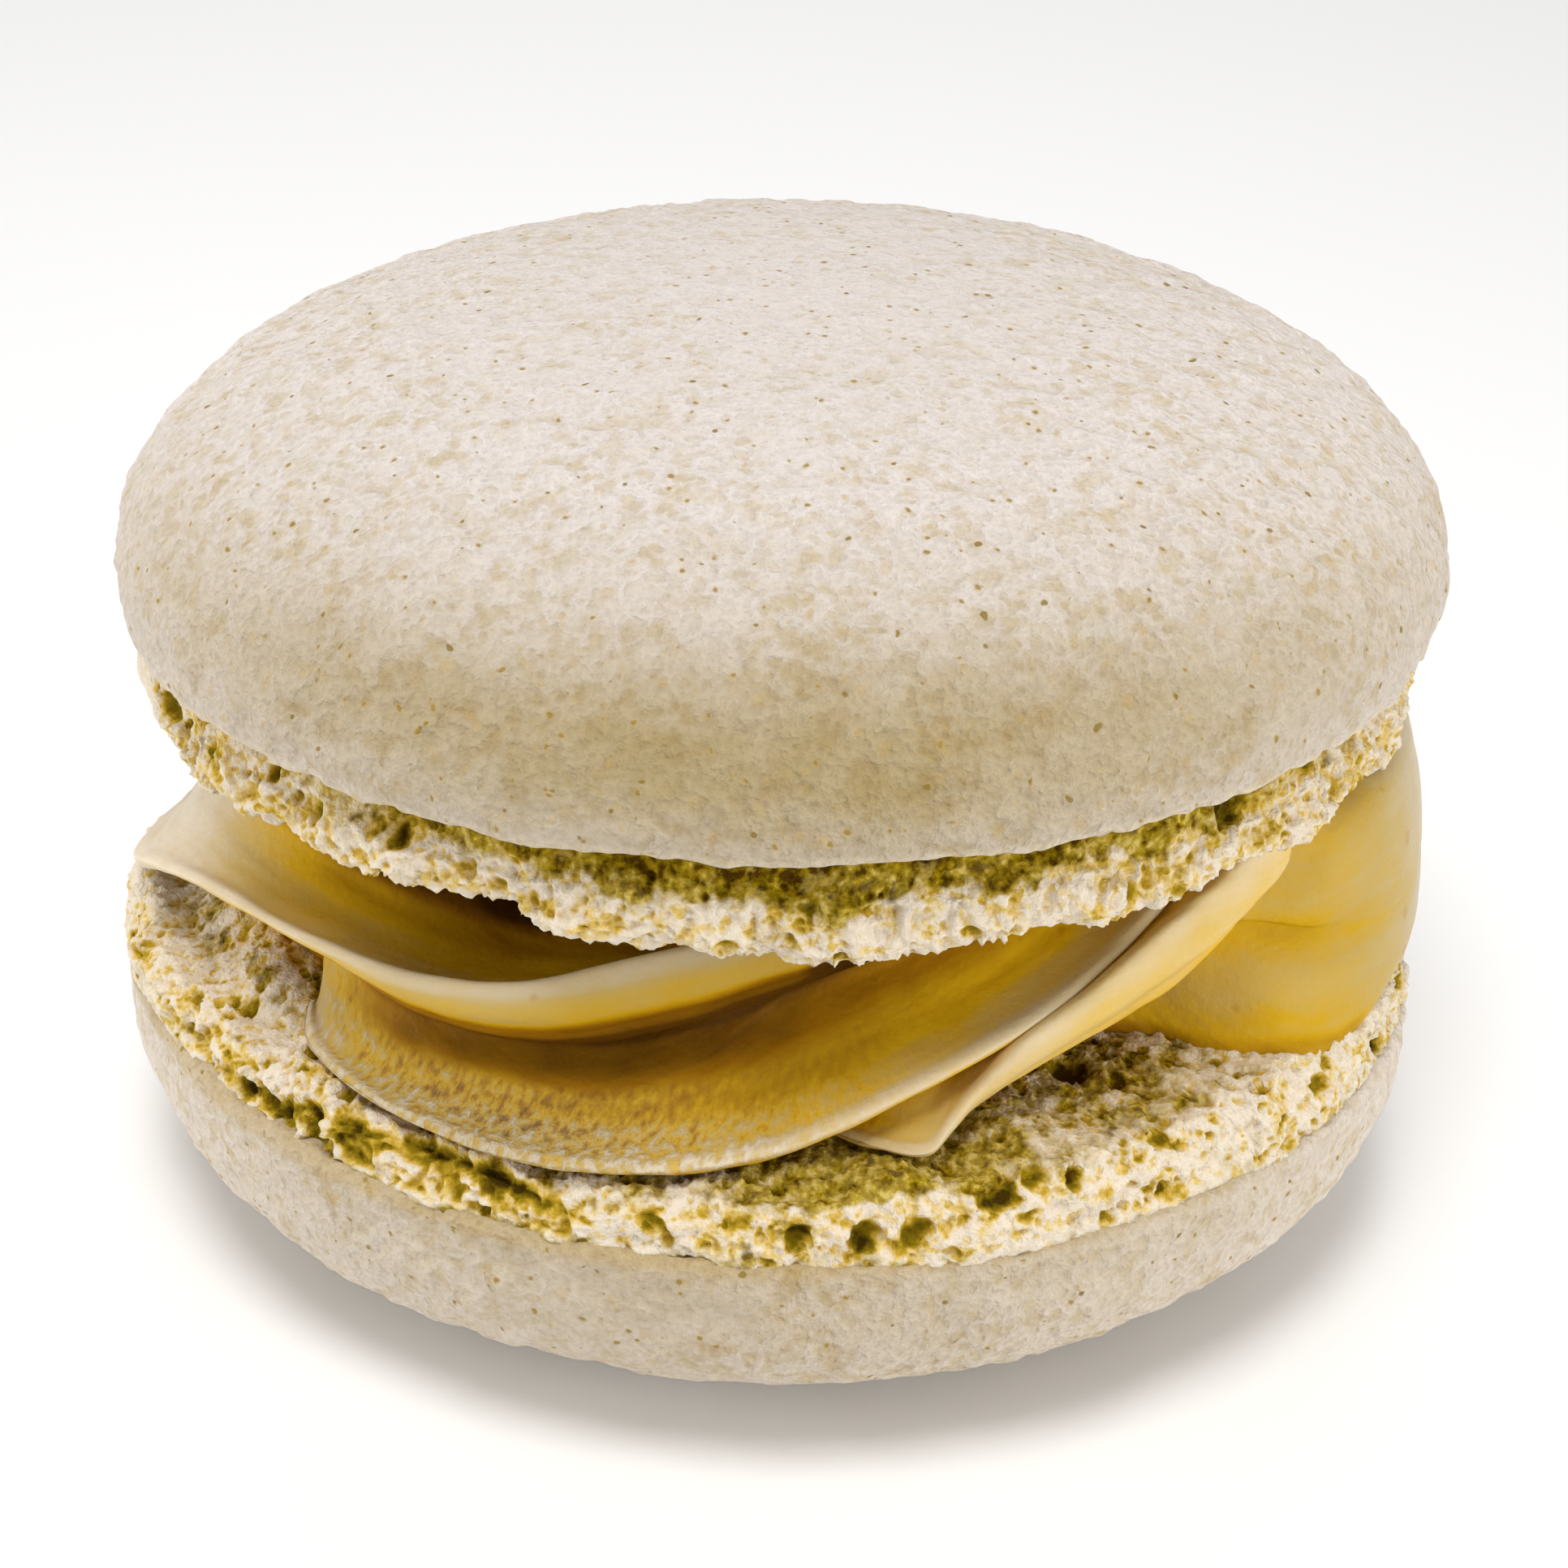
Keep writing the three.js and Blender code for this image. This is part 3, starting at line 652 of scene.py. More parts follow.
def footGrid(shell, look):
    # rows from under the crust's edge down the foot's side, a share of its height at a time, then in over
    # the inner face; columns round the shell, closer together at the front
    front = math.radians(footShape["frontAngle"])
    frontColumns, backColumns = footShape["columns"]
    ahead = np.linspace(-front, front, frontColumns, endpoint=False)
    behind = np.linspace(front, fullTurn - front, backColumns, endpoint=False)
    angle = np.concatenate([ahead, behind])
    share = np.linspace(footShape["start"], 1, look["sideRows"])[:, None]
    height = footHeight(shell, angle)
    z = edgeLift(shell, angle) * (1 - share) - share * height
    rim = around(angle, shell["widest"], z)
    seed = shell["seed"]
    crags = noise(rim, crag["size"], seed + 2) + crag["fineShare"] * noise(rim, crag["fineSize"], seed + 5)
    drawnIn = crag["drawnIn"] * share**2 * np.maximum(height - shell["footHeight"], 0)
    reach = sum(swell(row, angle) for row in shell["footReach"])
    reach = reach * (1 - shell["reachFades"] * smooth(share, *footShape["fade"]))
    setback = np.interp(share, footLevels, shell["footSetback"]) + drawnIn - reach
    depth = crag["depth"] * crags * levelAt(crag["growth"], share)
    radius = lipRadius(shell, angle) - setback + depth
    inward = np.linspace(0, 1, look["faceRows"] + 1)[1:, None]
    faceRadius = mix(radius[-1], look["faceInner"], inward ** look["facePower"])
    face = around(angle, faceRadius, -faceHeight(shell, angle, faceRadius))
    grid = np.concatenate([around(angle, radius, z), face])
    for _ in range(footShape["roundings"]):
        grid[1:-1] = (grid[:-2] + 2 * grid[1:-1] + grid[2:]) / 4
    level = np.concatenate([share, 1 + inward])
    return grid, angle, np.broadcast_to(level, grid.shape[:2])


def footHollows(look, grid, angle, level, seed):
    # how far the crumb is hollowed, by cracks between lumps, a crevice along the crust, and round pits
    # bent out of round by a warp; and how much painted olive shade the crevice lays on it
    warpSize, warpReach = look["warp"]
    warp = np.stack([noise(grid, warpSize, seed + i) for i in range(3)], axis=-1)
    bent = grid + warpReach * warp

    lumpSize, crackDepth = look["lumps"]
    cracked = np.clip(sum(swell(row, angle) for row in look["lumpSpots"]), 0, 1)
    cracked = within(cracked, level, footShape["cracks"])
    border = crumbLumps(bent, lumpSize, seed + 10)
    cracks = crackDepth * cracked * (1 - smooth(border, *footShape["crackWidth"]))

    groove = look["crevice"]
    degrees = (np.degrees(angle) + 180) % 360 - 180
    path = levelAt(groove["path"], degrees)
    for number, (size, height) in enumerate(footShape["wander"]):
        path = path + height * noise(grid, size, seed + 12 + 2 * number)
    crevice = np.exp(-(((level - path) / groove["width"]) ** 2)) * swell(groove["spot"], angle)
    crevice = crevice * smooth(noise(grid, 1.1, seed + 13), *groove["broken"])

    pits = np.zeros(grid.shape[:2])
    for number, (cell, smallest, largest, share, deep) in enumerate(look["pits"]):
        field = bubbles(bent, cell, seed + 20 + 9 * number, smallest, largest, share)
        pits = np.maximum(pits, deep * field)
    pits = pits * (1 - swell(look["smoothSpot"], angle))
    for middle, radius, z, size in look["holes"]:
        away = ((bent - around(math.radians(middle), radius, z)) ** 2).sum(axis=-1)
        pits = np.maximum(pits, footShape["holeDepth"] * np.sqrt(np.maximum(size**2 - away, 0)))

    hollow = np.maximum(cracks, pits) + groove["depth"] * crevice
    return within(hollow, level, footShape["hollows"]), crevice * groove["olive"]


def footTeeth(look, grid, angle, level, seed):
    # fine ridges, each a height less three times the size of a noise, so that it is sharp where the noise
    # is nought, and grains on them
    teeth = 0
    for size, height in look["teeth"]:
        teeth = teeth + height * (1 - 3 * np.sqrt(noise(grid, size, seed + 40) ** 2 + 0.01))
    onFace = mix(1, footShape["teethOnFace"], smooth(level, *footShape["teethEnd"]))
    teeth = teeth * smooth(level, *look["teethStart"]) * onFace
    teeth = teeth + wavesAt(grid, look["grains"], seed + 45)
    return teeth * (1 - swell(look["smoothSpot"], angle))


def paintedShade(look, grid, angle, level, seed):
    # painted shade that makes the crumb olive: bands of level round their middle angles, with ragged
    # borders
    wavering = level + 0.13 * noise(grid, 1.1, seed + 30) + 0.09 * noise(grid, 0.45, seed + 31)
    shade = np.zeros(grid.shape[:2])
    for *spot, start, stop in look["shadeBands"]:
        band = within(1, wavering, (start - 0.1, start + 0.1, stop - 0.12, stop + 0.12))
        shade = np.maximum(shade, band * np.clip(swell(spot, angle), 0, 1))
    return shade


def footPiece(name, shell, look, material):
    # the foot's grid moved along its normals: out by its teeth, in by its hollows
    grid, angle, level = footGrid(shell, look)
    seed = shell["seed"] + footShape["seed"]
    teeth = footTeeth(look, grid, angle, level, seed)
    hollow, olive = footHollows(look, grid, angle, level, seed)
    grid = grid + normalsOf(grid) * (teeth * (1 - smooth(hollow, 0, 0.3)) - hollow)[..., None]
    middles = [[0, 0, footShape["inside"]], [0, 0, -shell["faceHeight"]]]
    values = {  # on the grid, and at both middles
        "hollow": (hollow - 0.3 * swell(look["smoothSpot"], angle), 0),  # a smooth spot is paler
        "shade": (np.maximum(olive, paintedShade(look, grid, angle, level, seed)), 0),
        "inner": (smooth(level, *footShape["inner"]), 1),
        "ridge": (teeth / footShape["teethHeight"] + 0.5, 0.5),
    }
    points, faces, attributes = closedGrid(grid, middles, values)
    piece = makePiece(name, placed(shell, points), faces, material, attributes)
    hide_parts(shell["node"])


# A row of a ribbon is one station: angle, lip radius, lip height, height of the face under the lip, radius
# and height of the ribbon's root.
frontLeftRibbon = {
    "rows": [
        (-128, 20.0, 11.7, 0.3, 17.5, 14.0),
        (-108, 21.0, 11.7, 0.4, 18.6, 15.9),
        (-97, 21.0, 11.8, 0.5, 18.8, 16.1),
        (-89, 21.2, 11.9, 0.5, 19.0, 16.3),
        (-83, 22.0, 12.0, 0.55, 19.2, 16.5),
        (-77, 22.75, 12.1, 0.6, 19.3, 16.6),
        (-68, 22.4, 13.5, 0.45, 19.3, 17.0),
        (-57, 21.8, 14.6, 0.4, 19.0, 16.8),
        (-43, 21.2, 14.8, 0.45, 16.6, 15.2),
        (-32, 20.7, 14.8, 1.6, 14.4, 14.0),
        (-22, 20.2, 15.35, 2.4, 13.0, 14.0),
        (-10, 19.4, 16.75, 3.0, 13.0, 14.3),
        (3, 18.3, 17.7, 2.8, 14.0, 16.8),
        (16, 17.2, 18.1, 2.4, 14.0, 18.0),
    ],
    # painted shade and painted light by angle: how deep the shade is, and how much it is lit
    "shadeTones": [
        (-128, 0.5), (-84, 0.05), (-68, 0.1), (-62, 0.35), (-56, 0.7), (-49, 0.93),
        (-40, 0.93), (-30, 1.08), (-12, 1.2), (3, 1.25), (9, 2.0), (16, 3.0),
    ],
    "paintedLight": [
        (-84, 1.0), (-68, 1.12), (-50, 1.1), (-30, 0.97), (-18, 0.9),
        (-6, 0.82), (4, 0.72), (9, 0.4), (16, 0.3),
    ],
    "seed": 3,
}
frontRibbon = {
    "rows": [
        (-49, 19.9, 10.9, 0.2, 19.0, 13.6),
        (-45, 20.9, 10.85, 0.2, 19.0, 13.5),
        (-40, 21.5, 10.8, 0.2, 19.0, 13.0),
        (-30, 22.2, 10.85, 0.25, 18.2, 12.8),
        (-18, 22.6, 11.0, 0.4, 17.4, 12.9),
        (-7, 22.0, 11.1, 0.45, 16.8, 13.9),
        (1, 21.0, 11.3, 0.45, 16.0, 14.5),
        (6, 20.8, 12.0, 0.45, 15.8, 15.0),
        (12, 20.65, 13.0, 0.45, 15.6, 15.7),
        (21, 20.0, 14.0, 0.45, 15.5, 16.5),
        (27, 19.6, 14.6, 0.45, 15.2, 17.0),
        (33, 19.2, 15.3, 0.45, 15.0, 17.5),
        (39, 18.9, 16.2, 0.45, 15.0, 17.9),
        (45, 18.5, 17.0, 0.45, 15.0, 18.2),
        (52, 18.0, 17.8, 0.5, 15.0, 18.4),
    ],
    "cornerShades": [1, 1, 1, 1, 0.8, 0.5, 0.18, 0.12, 0.16, 0.43, 0.64, 0.97, 1.4, 1.4],
    "shadeTones": [(-49, 0.4), (-36, 0.85), (-14, 0.95), (-2, 0.95), (12, 0.72), (32, 0.65), (52, 0.62)],
    "paintedLight": [(-36, 0.97), (-22, 0.94), (-10, 1.02), (8, 1.13), (20, 1.17), (52, 1.14)],
    "fade": [(-10, 1.0), (8, 0.8), (52, 0.7)],  # the power of the painted shade: less gives a narrower pale lip
    "brushed": (-22, 1.0, 20),  # where its top is wrinkled near the lip: middle angle, amount, spread
    "seed": 5,
}
underRibbon = {
    "rows": [
        (2, 18.6, 11.0, 0.2, 17.5, 11.6),
        (6, 19.7, 11.1, 0.2, 18.2, 11.8),
        (10, 20.7, 11.1, 0.25, 18.9, 12.2),
        (13.6, 21.4, 11.3, 0.4, 19.0, 12.5),
        (16, 20.85, 11.9, 0.7, 18.6, 12.7),
        (18.5, 20.3, 12.5, 1.0, 18.0, 12.9),
        (23, 20.15, 13.8, 1.7, 17.0, 13.3),
        (30, 19.9, 14.8, 2.2, 16.5, 13.8),
        (38, 19.7, 16.0, 3.3, 16.0, 14.8),
        (46, 20.0, 17.3, 3.7, 16.0, 16.1),
        (54, 20.3, 18.8, 3.9, 16.0, 17.5),
        (60, 19.6, 19.2, 3.4, 16.0, 18.3),
    ],
    "sag": 0.25,
    "paintedLight": [(10, 0.97), (20, 1.2), (30, 1.27), (60, 1.27)],
    "cornerShades": [1, 1, 1, 1, 0.45, 0.36, 0.32, 0.2, 0.27, 0.46, 0.56, 0.64, 0.75, 0.9],
    "shadeTones": [(2, 1.3), (8, 1.1), (12, 0.75), (16, 0.75), (30, 0.95), (61, 0.95)],
    "seed": 7,
}
backRibbonRows = [  # for a start at 0 degrees
    (0, 20.0, 11.3, 0.3, 17.5, 13.0),
    (16, 21.4, 11.3, 0.4, 18.0, 13.2),
    (34, 22.2, 11.6, 0.5, 17.8, 13.8),
    (52, 21.5, 13.0, 0.9, 17.0, 15.0),
    (70, 20.5, 14.9, 1.6, 16.0, 16.2),
    (86, 19.4, 16.7, 2.1, 15.0, 17.4),
    (100, 18.0, 18.0, 1.8, 15.0, 18.2),
]
backRibbonStarts = [100, 148, 196]

# A row of the fold is an angle, then the radius at the foot of the fold, at its lower bulge, at the crease,
# of the upper bulge and at the top, and the height of the crease.
rightFold = {
    "rows": [
        (38, 16.4, 16.5, 16.6, 17.0, 17.0, 15.4),
        (44, 18.0, 17.6, 17.6, 18.3, 18.3, 15.2),
        (48, 20.3, 19.2, 18.7, 19.2, 19.0, 15.0),
        (52, 22.0, 20.8, 19.6, 20.2, 20.0, 14.7),
        (58, 22.4, 21.9, 21.0, 21.6, 20.9, 14.0),
        (66, 22.6, 22.7, 22.5, 22.2, 21.4, 13.6),
        (78, 22.6, 23.0, 22.85, 22.4, 21.5, 13.8),
        (92, 22.2, 22.8, 22.6, 22.1, 21.3, 14.0),
        (108, 20.6, 21.6, 21.4, 21.2, 20.6, 14.2),
        (124, 17.5, 19.0, 19.5, 19.5, 19.2, 14.4),
    ],
    "heights": (12.4, 16.4, 18.1),  # of the lower bulge, the upper bulge and the top
    "crease": (0.6, 52, 62),  # how far the upper fold hangs over, and the angles between which that ends
    "paintedLight": [(48, 0.94), (62, 0.87), (90, 1.0)],
    "cornerShades": [1, 1, 1, 0.72, 0.52, 0.43, 0.61, 0.54, 0.43, 0.46, 0.5, 1],
    "shadeTones": [(38, 1.1), (48, 0.87), (56, 0.9), (61, 0.75), (69, 0.5), (76, 0.2), (96, 0.05), (124, 0.4)],
    "seed": 9,
}
ribbonShape = {
    "sag": 0.85,  # of the top between lip and root
    "lean": 0.2,  # how far the face leans in, as a share of its height
    "edge": 0.22,  # radius of the lip
    "underside": 2.6,  # how far in the underside goes
    "innerFall": 0.9,  # from the root to the hub
    # how deep the painted shade is at each corner of the section: floor, underside, face, lip, top and root
    "cornerShades": [1, 1, 1, 1, 0.9, 0.72, 0.36, 0.14, 0.13, 0.38, 0.47, 0.64, 1.0, 1.35],
}
creamLook = {
    "hub": 9.0,  # ribbons reach in to this radius, inside the core
    "step": 0.15,  # between the sections of a ribbon
    "stepRadius": 22,  # measured at this radius
    "perEdge": 8,  # points on each edge of a section
    "sink": 0.12,  # how far the cream presses into the shells
    "waves": [(2.6, 0.06), (0.9, 0.025)],
    "streaks": (4.0, 0.3, 0.03),  # length, width and height of the lines along a ribbon
    "lengthRadius": 20,  # where those lengths are measured
    "shadeBlend": (0.15, 0.85),  # the part of an edge where one corner's painted shade turns into the next one's
    "reliefStart": (0.02, 0.25),  # painted shade levels between which waves and lines grow: a pale lip stays smooth
    "brushedEnd": (0.42, 0.74),  # painted shade levels between which the wrinkles at a lip end
}
coreLook = {
    "radius": 13.6,
    "hollow": (-25, 4.2, 32),  # where it stands back: middle angle, depth, spread
    "grid": (30, 240),
    "wave": (2.5, 0.15),
    "seed": 21,
}


def floorAt(angle, radius):
    # the lower shell's inner face, less how far the cream presses in
    return lowerShell["lipHeight"] + faceHeight(lowerShell, angle, radius) - creamLook["sink"]


def ceilingAt(angle, radius):
    # the upper shell's inner face, which leans with the shell
    shell = upperShell
    lean = shell["climbRight"] * radius * np.sin(angle) - shell["climbBack"] * radius * np.cos(angle)
    return shell["lipHeight"] + lean - faceHeight(shell, angle, radius) + creamLook["sink"]


def ribbonSections(ribbon, table, angle):
    # each station's outline, counterclockwise with the radius to the right: in along the floor, up the
    # underside to the lip, over the lip, and down the sagging top to the root
    lipR, lipZ, face, rootR, rootZ = table.T[1:]
    edge = ribbonShape["edge"]
    bottom = floorAt(angle, lipR)
    below = bottom - 1  # cut off at the floor later
    top = np.maximum(lipZ, bottom + face)
    inner = lipR - ribbonShape["lean"] * face
    under = inner - ribbonShape["underside"]
    foot = np.minimum(under, rootR) - 0.3
    hub = np.full_like(lipR, creamLook["hub"])
    corners = [
        (hub, below),
        (mix(hub, foot, 0.8), below),
        (foot, below),
        (under, mix(bottom, top - face, 0.75)),
        (inner - 0.25, top - face - 0.1),
        (inner, top - 0.85 * face),
        (lipR + 0.04 * face, top - face / 2),
        (lipR, top - 0.6 * edge),
        (lipR - edge, top),
    ]
    for share in (0.2, 0.5, 0.8, 1):
        sag = ribbon.get("sag", ribbonShape["sag"]) * 4 * share * (1 - share)
        corners.append((mix(lipR - edge, rootR, share), mix(top, rootZ, share) - sag))
    corners.append((hub, rootZ - ribbonShape["innerFall"]))
    return corners


def foldSections(fold, table, angle):
    # each station's outline of the double fold: lower bulge, crease, upper bulge
    footR, bulgeR, creaseR, upperR, topR, creaseZ = table.T[1:]
    bottom = floorAt(angle, footR)
    below = bottom - 1
    depth, *ends = fold["crease"]
    foldR = creaseR + depth * (1 - smooth(np.degrees(angle), *ends))
    hub = np.full_like(footR, creamLook["hub"])
    bulgeZ, upperZ, topZ = (np.full_like(footR, height) for height in fold["heights"])
    return [
        (hub, below),
        (mix(hub, footR, 0.84), below),
        (footR - 0.3, below),
        (footR, bottom + 0.1),
        (mix(footR, bulgeR, 0.7) + 0.1, bottom + 0.8),
        (bulgeR, bulgeZ),
        (creaseR, creaseZ - 0.15),
        (foldR, creaseZ + 0.1),
        (mix(foldR, upperR, 0.6) + 0.1, mix(creaseZ, upperZ, 0.55)),
        (upperR, upperZ),
        (topR, topZ),
        (hub, topZ),
    ]


def roundedOutline(corners, perEdge):
    # a closed Catmull-Rom curve through the corners, its steps by the square root of their distance:
    # straight lines between neighbours, mixed twice over
    shifted = [np.roll(corners, shift, axis=1)[:, :, None] for shift in (1, 0, -1, -2)]
    p0, p1, p2, p3 = shifted
    ways = [b - a for a, b in zip(shifted, shifted[1:])]
    gaps = [np.sqrt(np.linalg.norm(way, axis=-1, keepdims=True)) + 1e-3 for way in ways]
    t1 = gaps[0]
    t2 = t1 + gaps[1]
    t3 = t2 + gaps[2]
    t = t1 + gaps[1] * (np.arange(perEdge) / perEdge)[None, None, :, None]
    a1 = p0 + (p1 - p0) * t / t1
    a2 = p1 + (p2 - p1) * (t - t1) / (t2 - t1)
    a3 = p2 + (p3 - p2) * (t - t2) / (t3 - t2)
    b1 = a1 + (a2 - a1) * t / t2
    b2 = a2 + (a3 - a2) * (t - t1) / (t3 - t1)
    curve = b1 + (b2 - b1) * (t - t1) / (t2 - t1)
    return curve.reshape(len(corners), -1, 2)


def shadeToneOf(ribbon, degrees):
    # how deep the painted shade on the cream is: each corner's shade, blended along the edges, times the
    # shade by angle, and all that to a power
    perEdge = creamLook["perEdge"]
    cornerShades = ribbon.get("cornerShades", ribbonShape["cornerShades"])
    step = np.arange(len(cornerShades) * perEdge) / perEdge
    step = np.floor(step) + smooth(step % 1, *creamLook["shadeBlend"])
    shadeTone = np.interp(step, np.arange(len(cornerShades) + 1), [*cornerShades, cornerShades[0]])
    shadeTone = shadeTone[None] * levelAt(ribbon["shadeTones"], degrees)[:, None]
    if "fade" in ribbon:
        shadeTone = shadeTone ** levelAt(ribbon["fade"], degrees)[:, None]
    return shadeTone


def creamPiece(name, ribbon, sectionsOf, material):
    # a rounded section carried round the macaron from the first row of its table to the last, kept
    # between the shells, with low waves and fine lines along it
    rows = ribbon["rows"]
    seed = ribbon["seed"]
    start, end = rows[0][0], rows[-1][0]
    stations = int(math.radians(end - start) * creamLook["stepRadius"] / creamLook["step"])
    degrees = np.linspace(start, end, stations)
    angle = np.radians(degrees)
    corners = sectionsOf(ribbon, tableAt(rows, degrees), angle)
    outline = np.stack([np.stack(corner, axis=-1) for corner in corners], axis=1)
    radius, z = np.moveaxis(roundedOutline(outline, creamLook["perEdge"]), -1, 0)
    angle = angle[:, None]
    z = np.clip(z, floorAt(angle, radius), ceilingAt(angle, radius))
    grid = around(angle, radius, z)

    shadeTone = shadeToneOf(ribbon, degrees)
    along = angle * creamLook["lengthRadius"]
    steps = np.linalg.norm(np.diff(grid, axis=1, prepend=grid[:, :1]), axis=-1)
    across = np.cumsum(steps, axis=1)
    streakLength, streakWidth, streakHeight = creamLook["streaks"]
    lines = np.stack([along / streakLength + across * 0, across / streakWidth, across * 0], axis=-1)
    relief = wavesAt(grid, creamLook["waves"], seed + 1) + streakHeight * noise(lines, 1.0, seed)
    grid = grid + normalsOf(grid) * (relief * smooth(shadeTone, *creamLook["reliefStart"]))[..., None]
    brushed = swell(ribbon.get("brushed", (0, 0, 1)), angle)
    values = {
        "shadeTone": (shadeTone, 0.5),
        "along": (along, 0),
        "across": (across, 0),
        "brushed": (brushed * (1 - smooth(shadeTone, *creamLook["brushedEnd"])), 0),
        # painted light and shade by angle
        "paintedLight": (levelAt(ribbon.get("paintedLight", [(0, 1)]), degrees)[:, None], 1),
    }
    points, faces, attributes = closedGrid(grid, grid[[0, -1]].mean(axis=1), values)
    piece = makePiece(name, points, faces, material, attributes)
    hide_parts("filling")


def corePiece(name, look, material):
    # a wall between the shells at the core's radius, hollowed at the front left, painted in the deepest
    # shade
    rows, columns = look["grid"]
    angle = np.linspace(0, fullTurn, columns, endpoint=False)
    share = np.linspace(0, 1, rows)[:, None]
    radius = look["radius"] - swell(look["hollow"], angle)
    z = mix(ceilingAt(angle, radius), floorAt(angle, radius), share)
    grid = around(angle, radius, z)
    size, height = look["wave"]
    grid = grid + normalsOf(grid) * (height * noise(grid, size, look["seed"]))[..., None]
    middles = [[0, 0, z[0].mean()], [0, 0, z[-1].mean()]]
    points, faces, attributes = closedGrid(grid, middles, {"shadeTone": (1, 1), "paintedLight": (1, 1)})
    piece = makePiece(name, points, faces, material, attributes)
    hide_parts("filling")


upperCrustColours = {
    "pale": (0.70, 0.64, 0.605),
    # the colour of the painted shade at the front
    "frontShadeColour": (0.365, 0.275, 0.11),
    "rim": (0.74, 0.65, 0.50),
    "frontShade": [  # painted shade at the front, by reach from the top (0) to the end of the underside (1)
        (0.5, 0), (0.64, 0.25), (0.69, 0.5), (0.73, 0.75),
        (0.77, 0.96), (0.82, 0.92), (0.88, 0.6), (0.97, 0.42),
    ],
}
lowerCrustColours = {
    "pale": (0.78, 0.715, 0.66),
    # the colour of the painted shade at the front
    "frontShadeColour": (0.46, 0.37, 0.235),
    "rim": (0.46, 0.33, 0.13),
    # painted shade at the front, by reach
    "frontShade": [(0.5, 0.3), (0.72, 0.5), (0.85, 0.75), (0.93, 1), (1.0, 1)],
}
crustFinish = {
    "surface": (0.75, 0.15, 0.1, (1.0, 0.7, 0.4), millimetre),
    "mottles": (0.84, 0.76, 0.56),  # what its colour is multiplied by in mottles
    "sand": (0.91, 0.89, 0.85),  # and between grains
    "pinholes": [  # spacing, radius, share of the cells, strength and colour
        (0.9, 0.24, 0.6, 0.3, (0.50, 0.35, 0.13)),
        (0.5, 0.13, 0.7, 0.4, (0.48, 0.33, 0.11)),
        (0.8, 0.11, 0.4, 0.9, (0.25, 0.165, 0.022)),
        (0.5, 0.085, 0.4, 0.85, (0.31, 0.205, 0.035)),
    ],
    "relief": 0.33,
}


def crustMaterial(name, colours):
    # pale baked crust, with a painted shade that makes it tanner at the lower front, sandy mottles, a rim
    # of its own colour, a fine grain and small olive-brown pinholes
    material, tree, shader = newMaterial(name, crustFinish["surface"])
    place = placeNode(tree)
    reach = attributeNode(tree, "reach")
    # painted shade: tan at the lower front, in spots
    frontShaded = times(attributeNode(tree, "front"), levelNode(reach, colours["frontShade"]))
    spots = levelNode(noiseNode(place, 2.6, 3.0), [(0.35, 0.85), (0.65, 1)])
    colour = mixColour(times(frontShaded, spots), colours["pale"], colours["frontShadeColour"])
    bent = bentBy(place, 0.6, 0.2)
    dents = noiseNode(bent, 0.7, 5.0)
    patches = levelNode(noiseNode(place, 2.4, 2.0), [(0.38, 0.2), (0.64, 0.85)])
    outer = levelNode(reach, [(0.05, 0.45), (0.5, 1)])
    mottles = times(levelNode(dents, [(0.38, 1), (0.54, 0)]), times(patches, outer))
    colour = mixColour(mottles, colour, crustFinish["mottles"], "MULTIPLY")
    colour = mixColour(times(attributeNode(tree, "rim"), 0.5), colour, colours["rim"])
    grain = noiseNode(place, 0.25, 5.0)
    sand = rampNode(grain, [(0.36, crustFinish["sand"]), (0.6, grey(1.03))])
    colour = mixColour(1.0, colour, mixColour(outer, grey(1), sand), "MULTIPLY")
    for spacing, radius, share, strong, pinhole in crustFinish["pinholes"]:
        specks = speckNode(bent, spacing, radius, share)
        colour = mixColour(times(specks, strong), colour, pinhole)
    finishMaterial(shader, colour, plus(times(grain, 0.6), dents), crustFinish["relief"])
    return material


crumbFinish = {
    "surface": (0.85, 0.04, 0.1, (1.0, 0.6, 0.2), millimetre),
    "pores": [(0.85, 0.34, 0.7), (0.5, 0.22, 0.7)],  # spacing, radius, share of the cells
    "blotches": [(2.0, 0.26), (0.7, 0.34), (0.3, 0.42)],  # size, and how deep they make the colour
    "hollowShades": [  # painted shade: colours by depth of hollow, pale at the rim, then mustard, olive and brown
        (0.04, (0.79, 0.69, 0.55)),
        (0.12, (0.76, 0.57, 0.23)),
        (0.22, (0.56, 0.36, 0.035)),
        (0.34, (0.28, 0.19, 0.006)),
        (0.56, (0.06, 0.035, 0.002)),
    ],
    "olive": [  # and where painted shade makes it olive
        (0.0, (0.60, 0.45, 0.11)),
        (0.13, (0.46, 0.32, 0.015)),
        (0.24, (0.35, 0.235, 0.003)),
        (0.44, (0.22, 0.14, 0.001)),
        (0.66, (0.07, 0.03, 0.001)),
    ],
    "paleBits": (0.60, 0.44, 0.10),
    "darkBits": (0.10, 0.055, 0.002),
    "relief": 0.07,
}


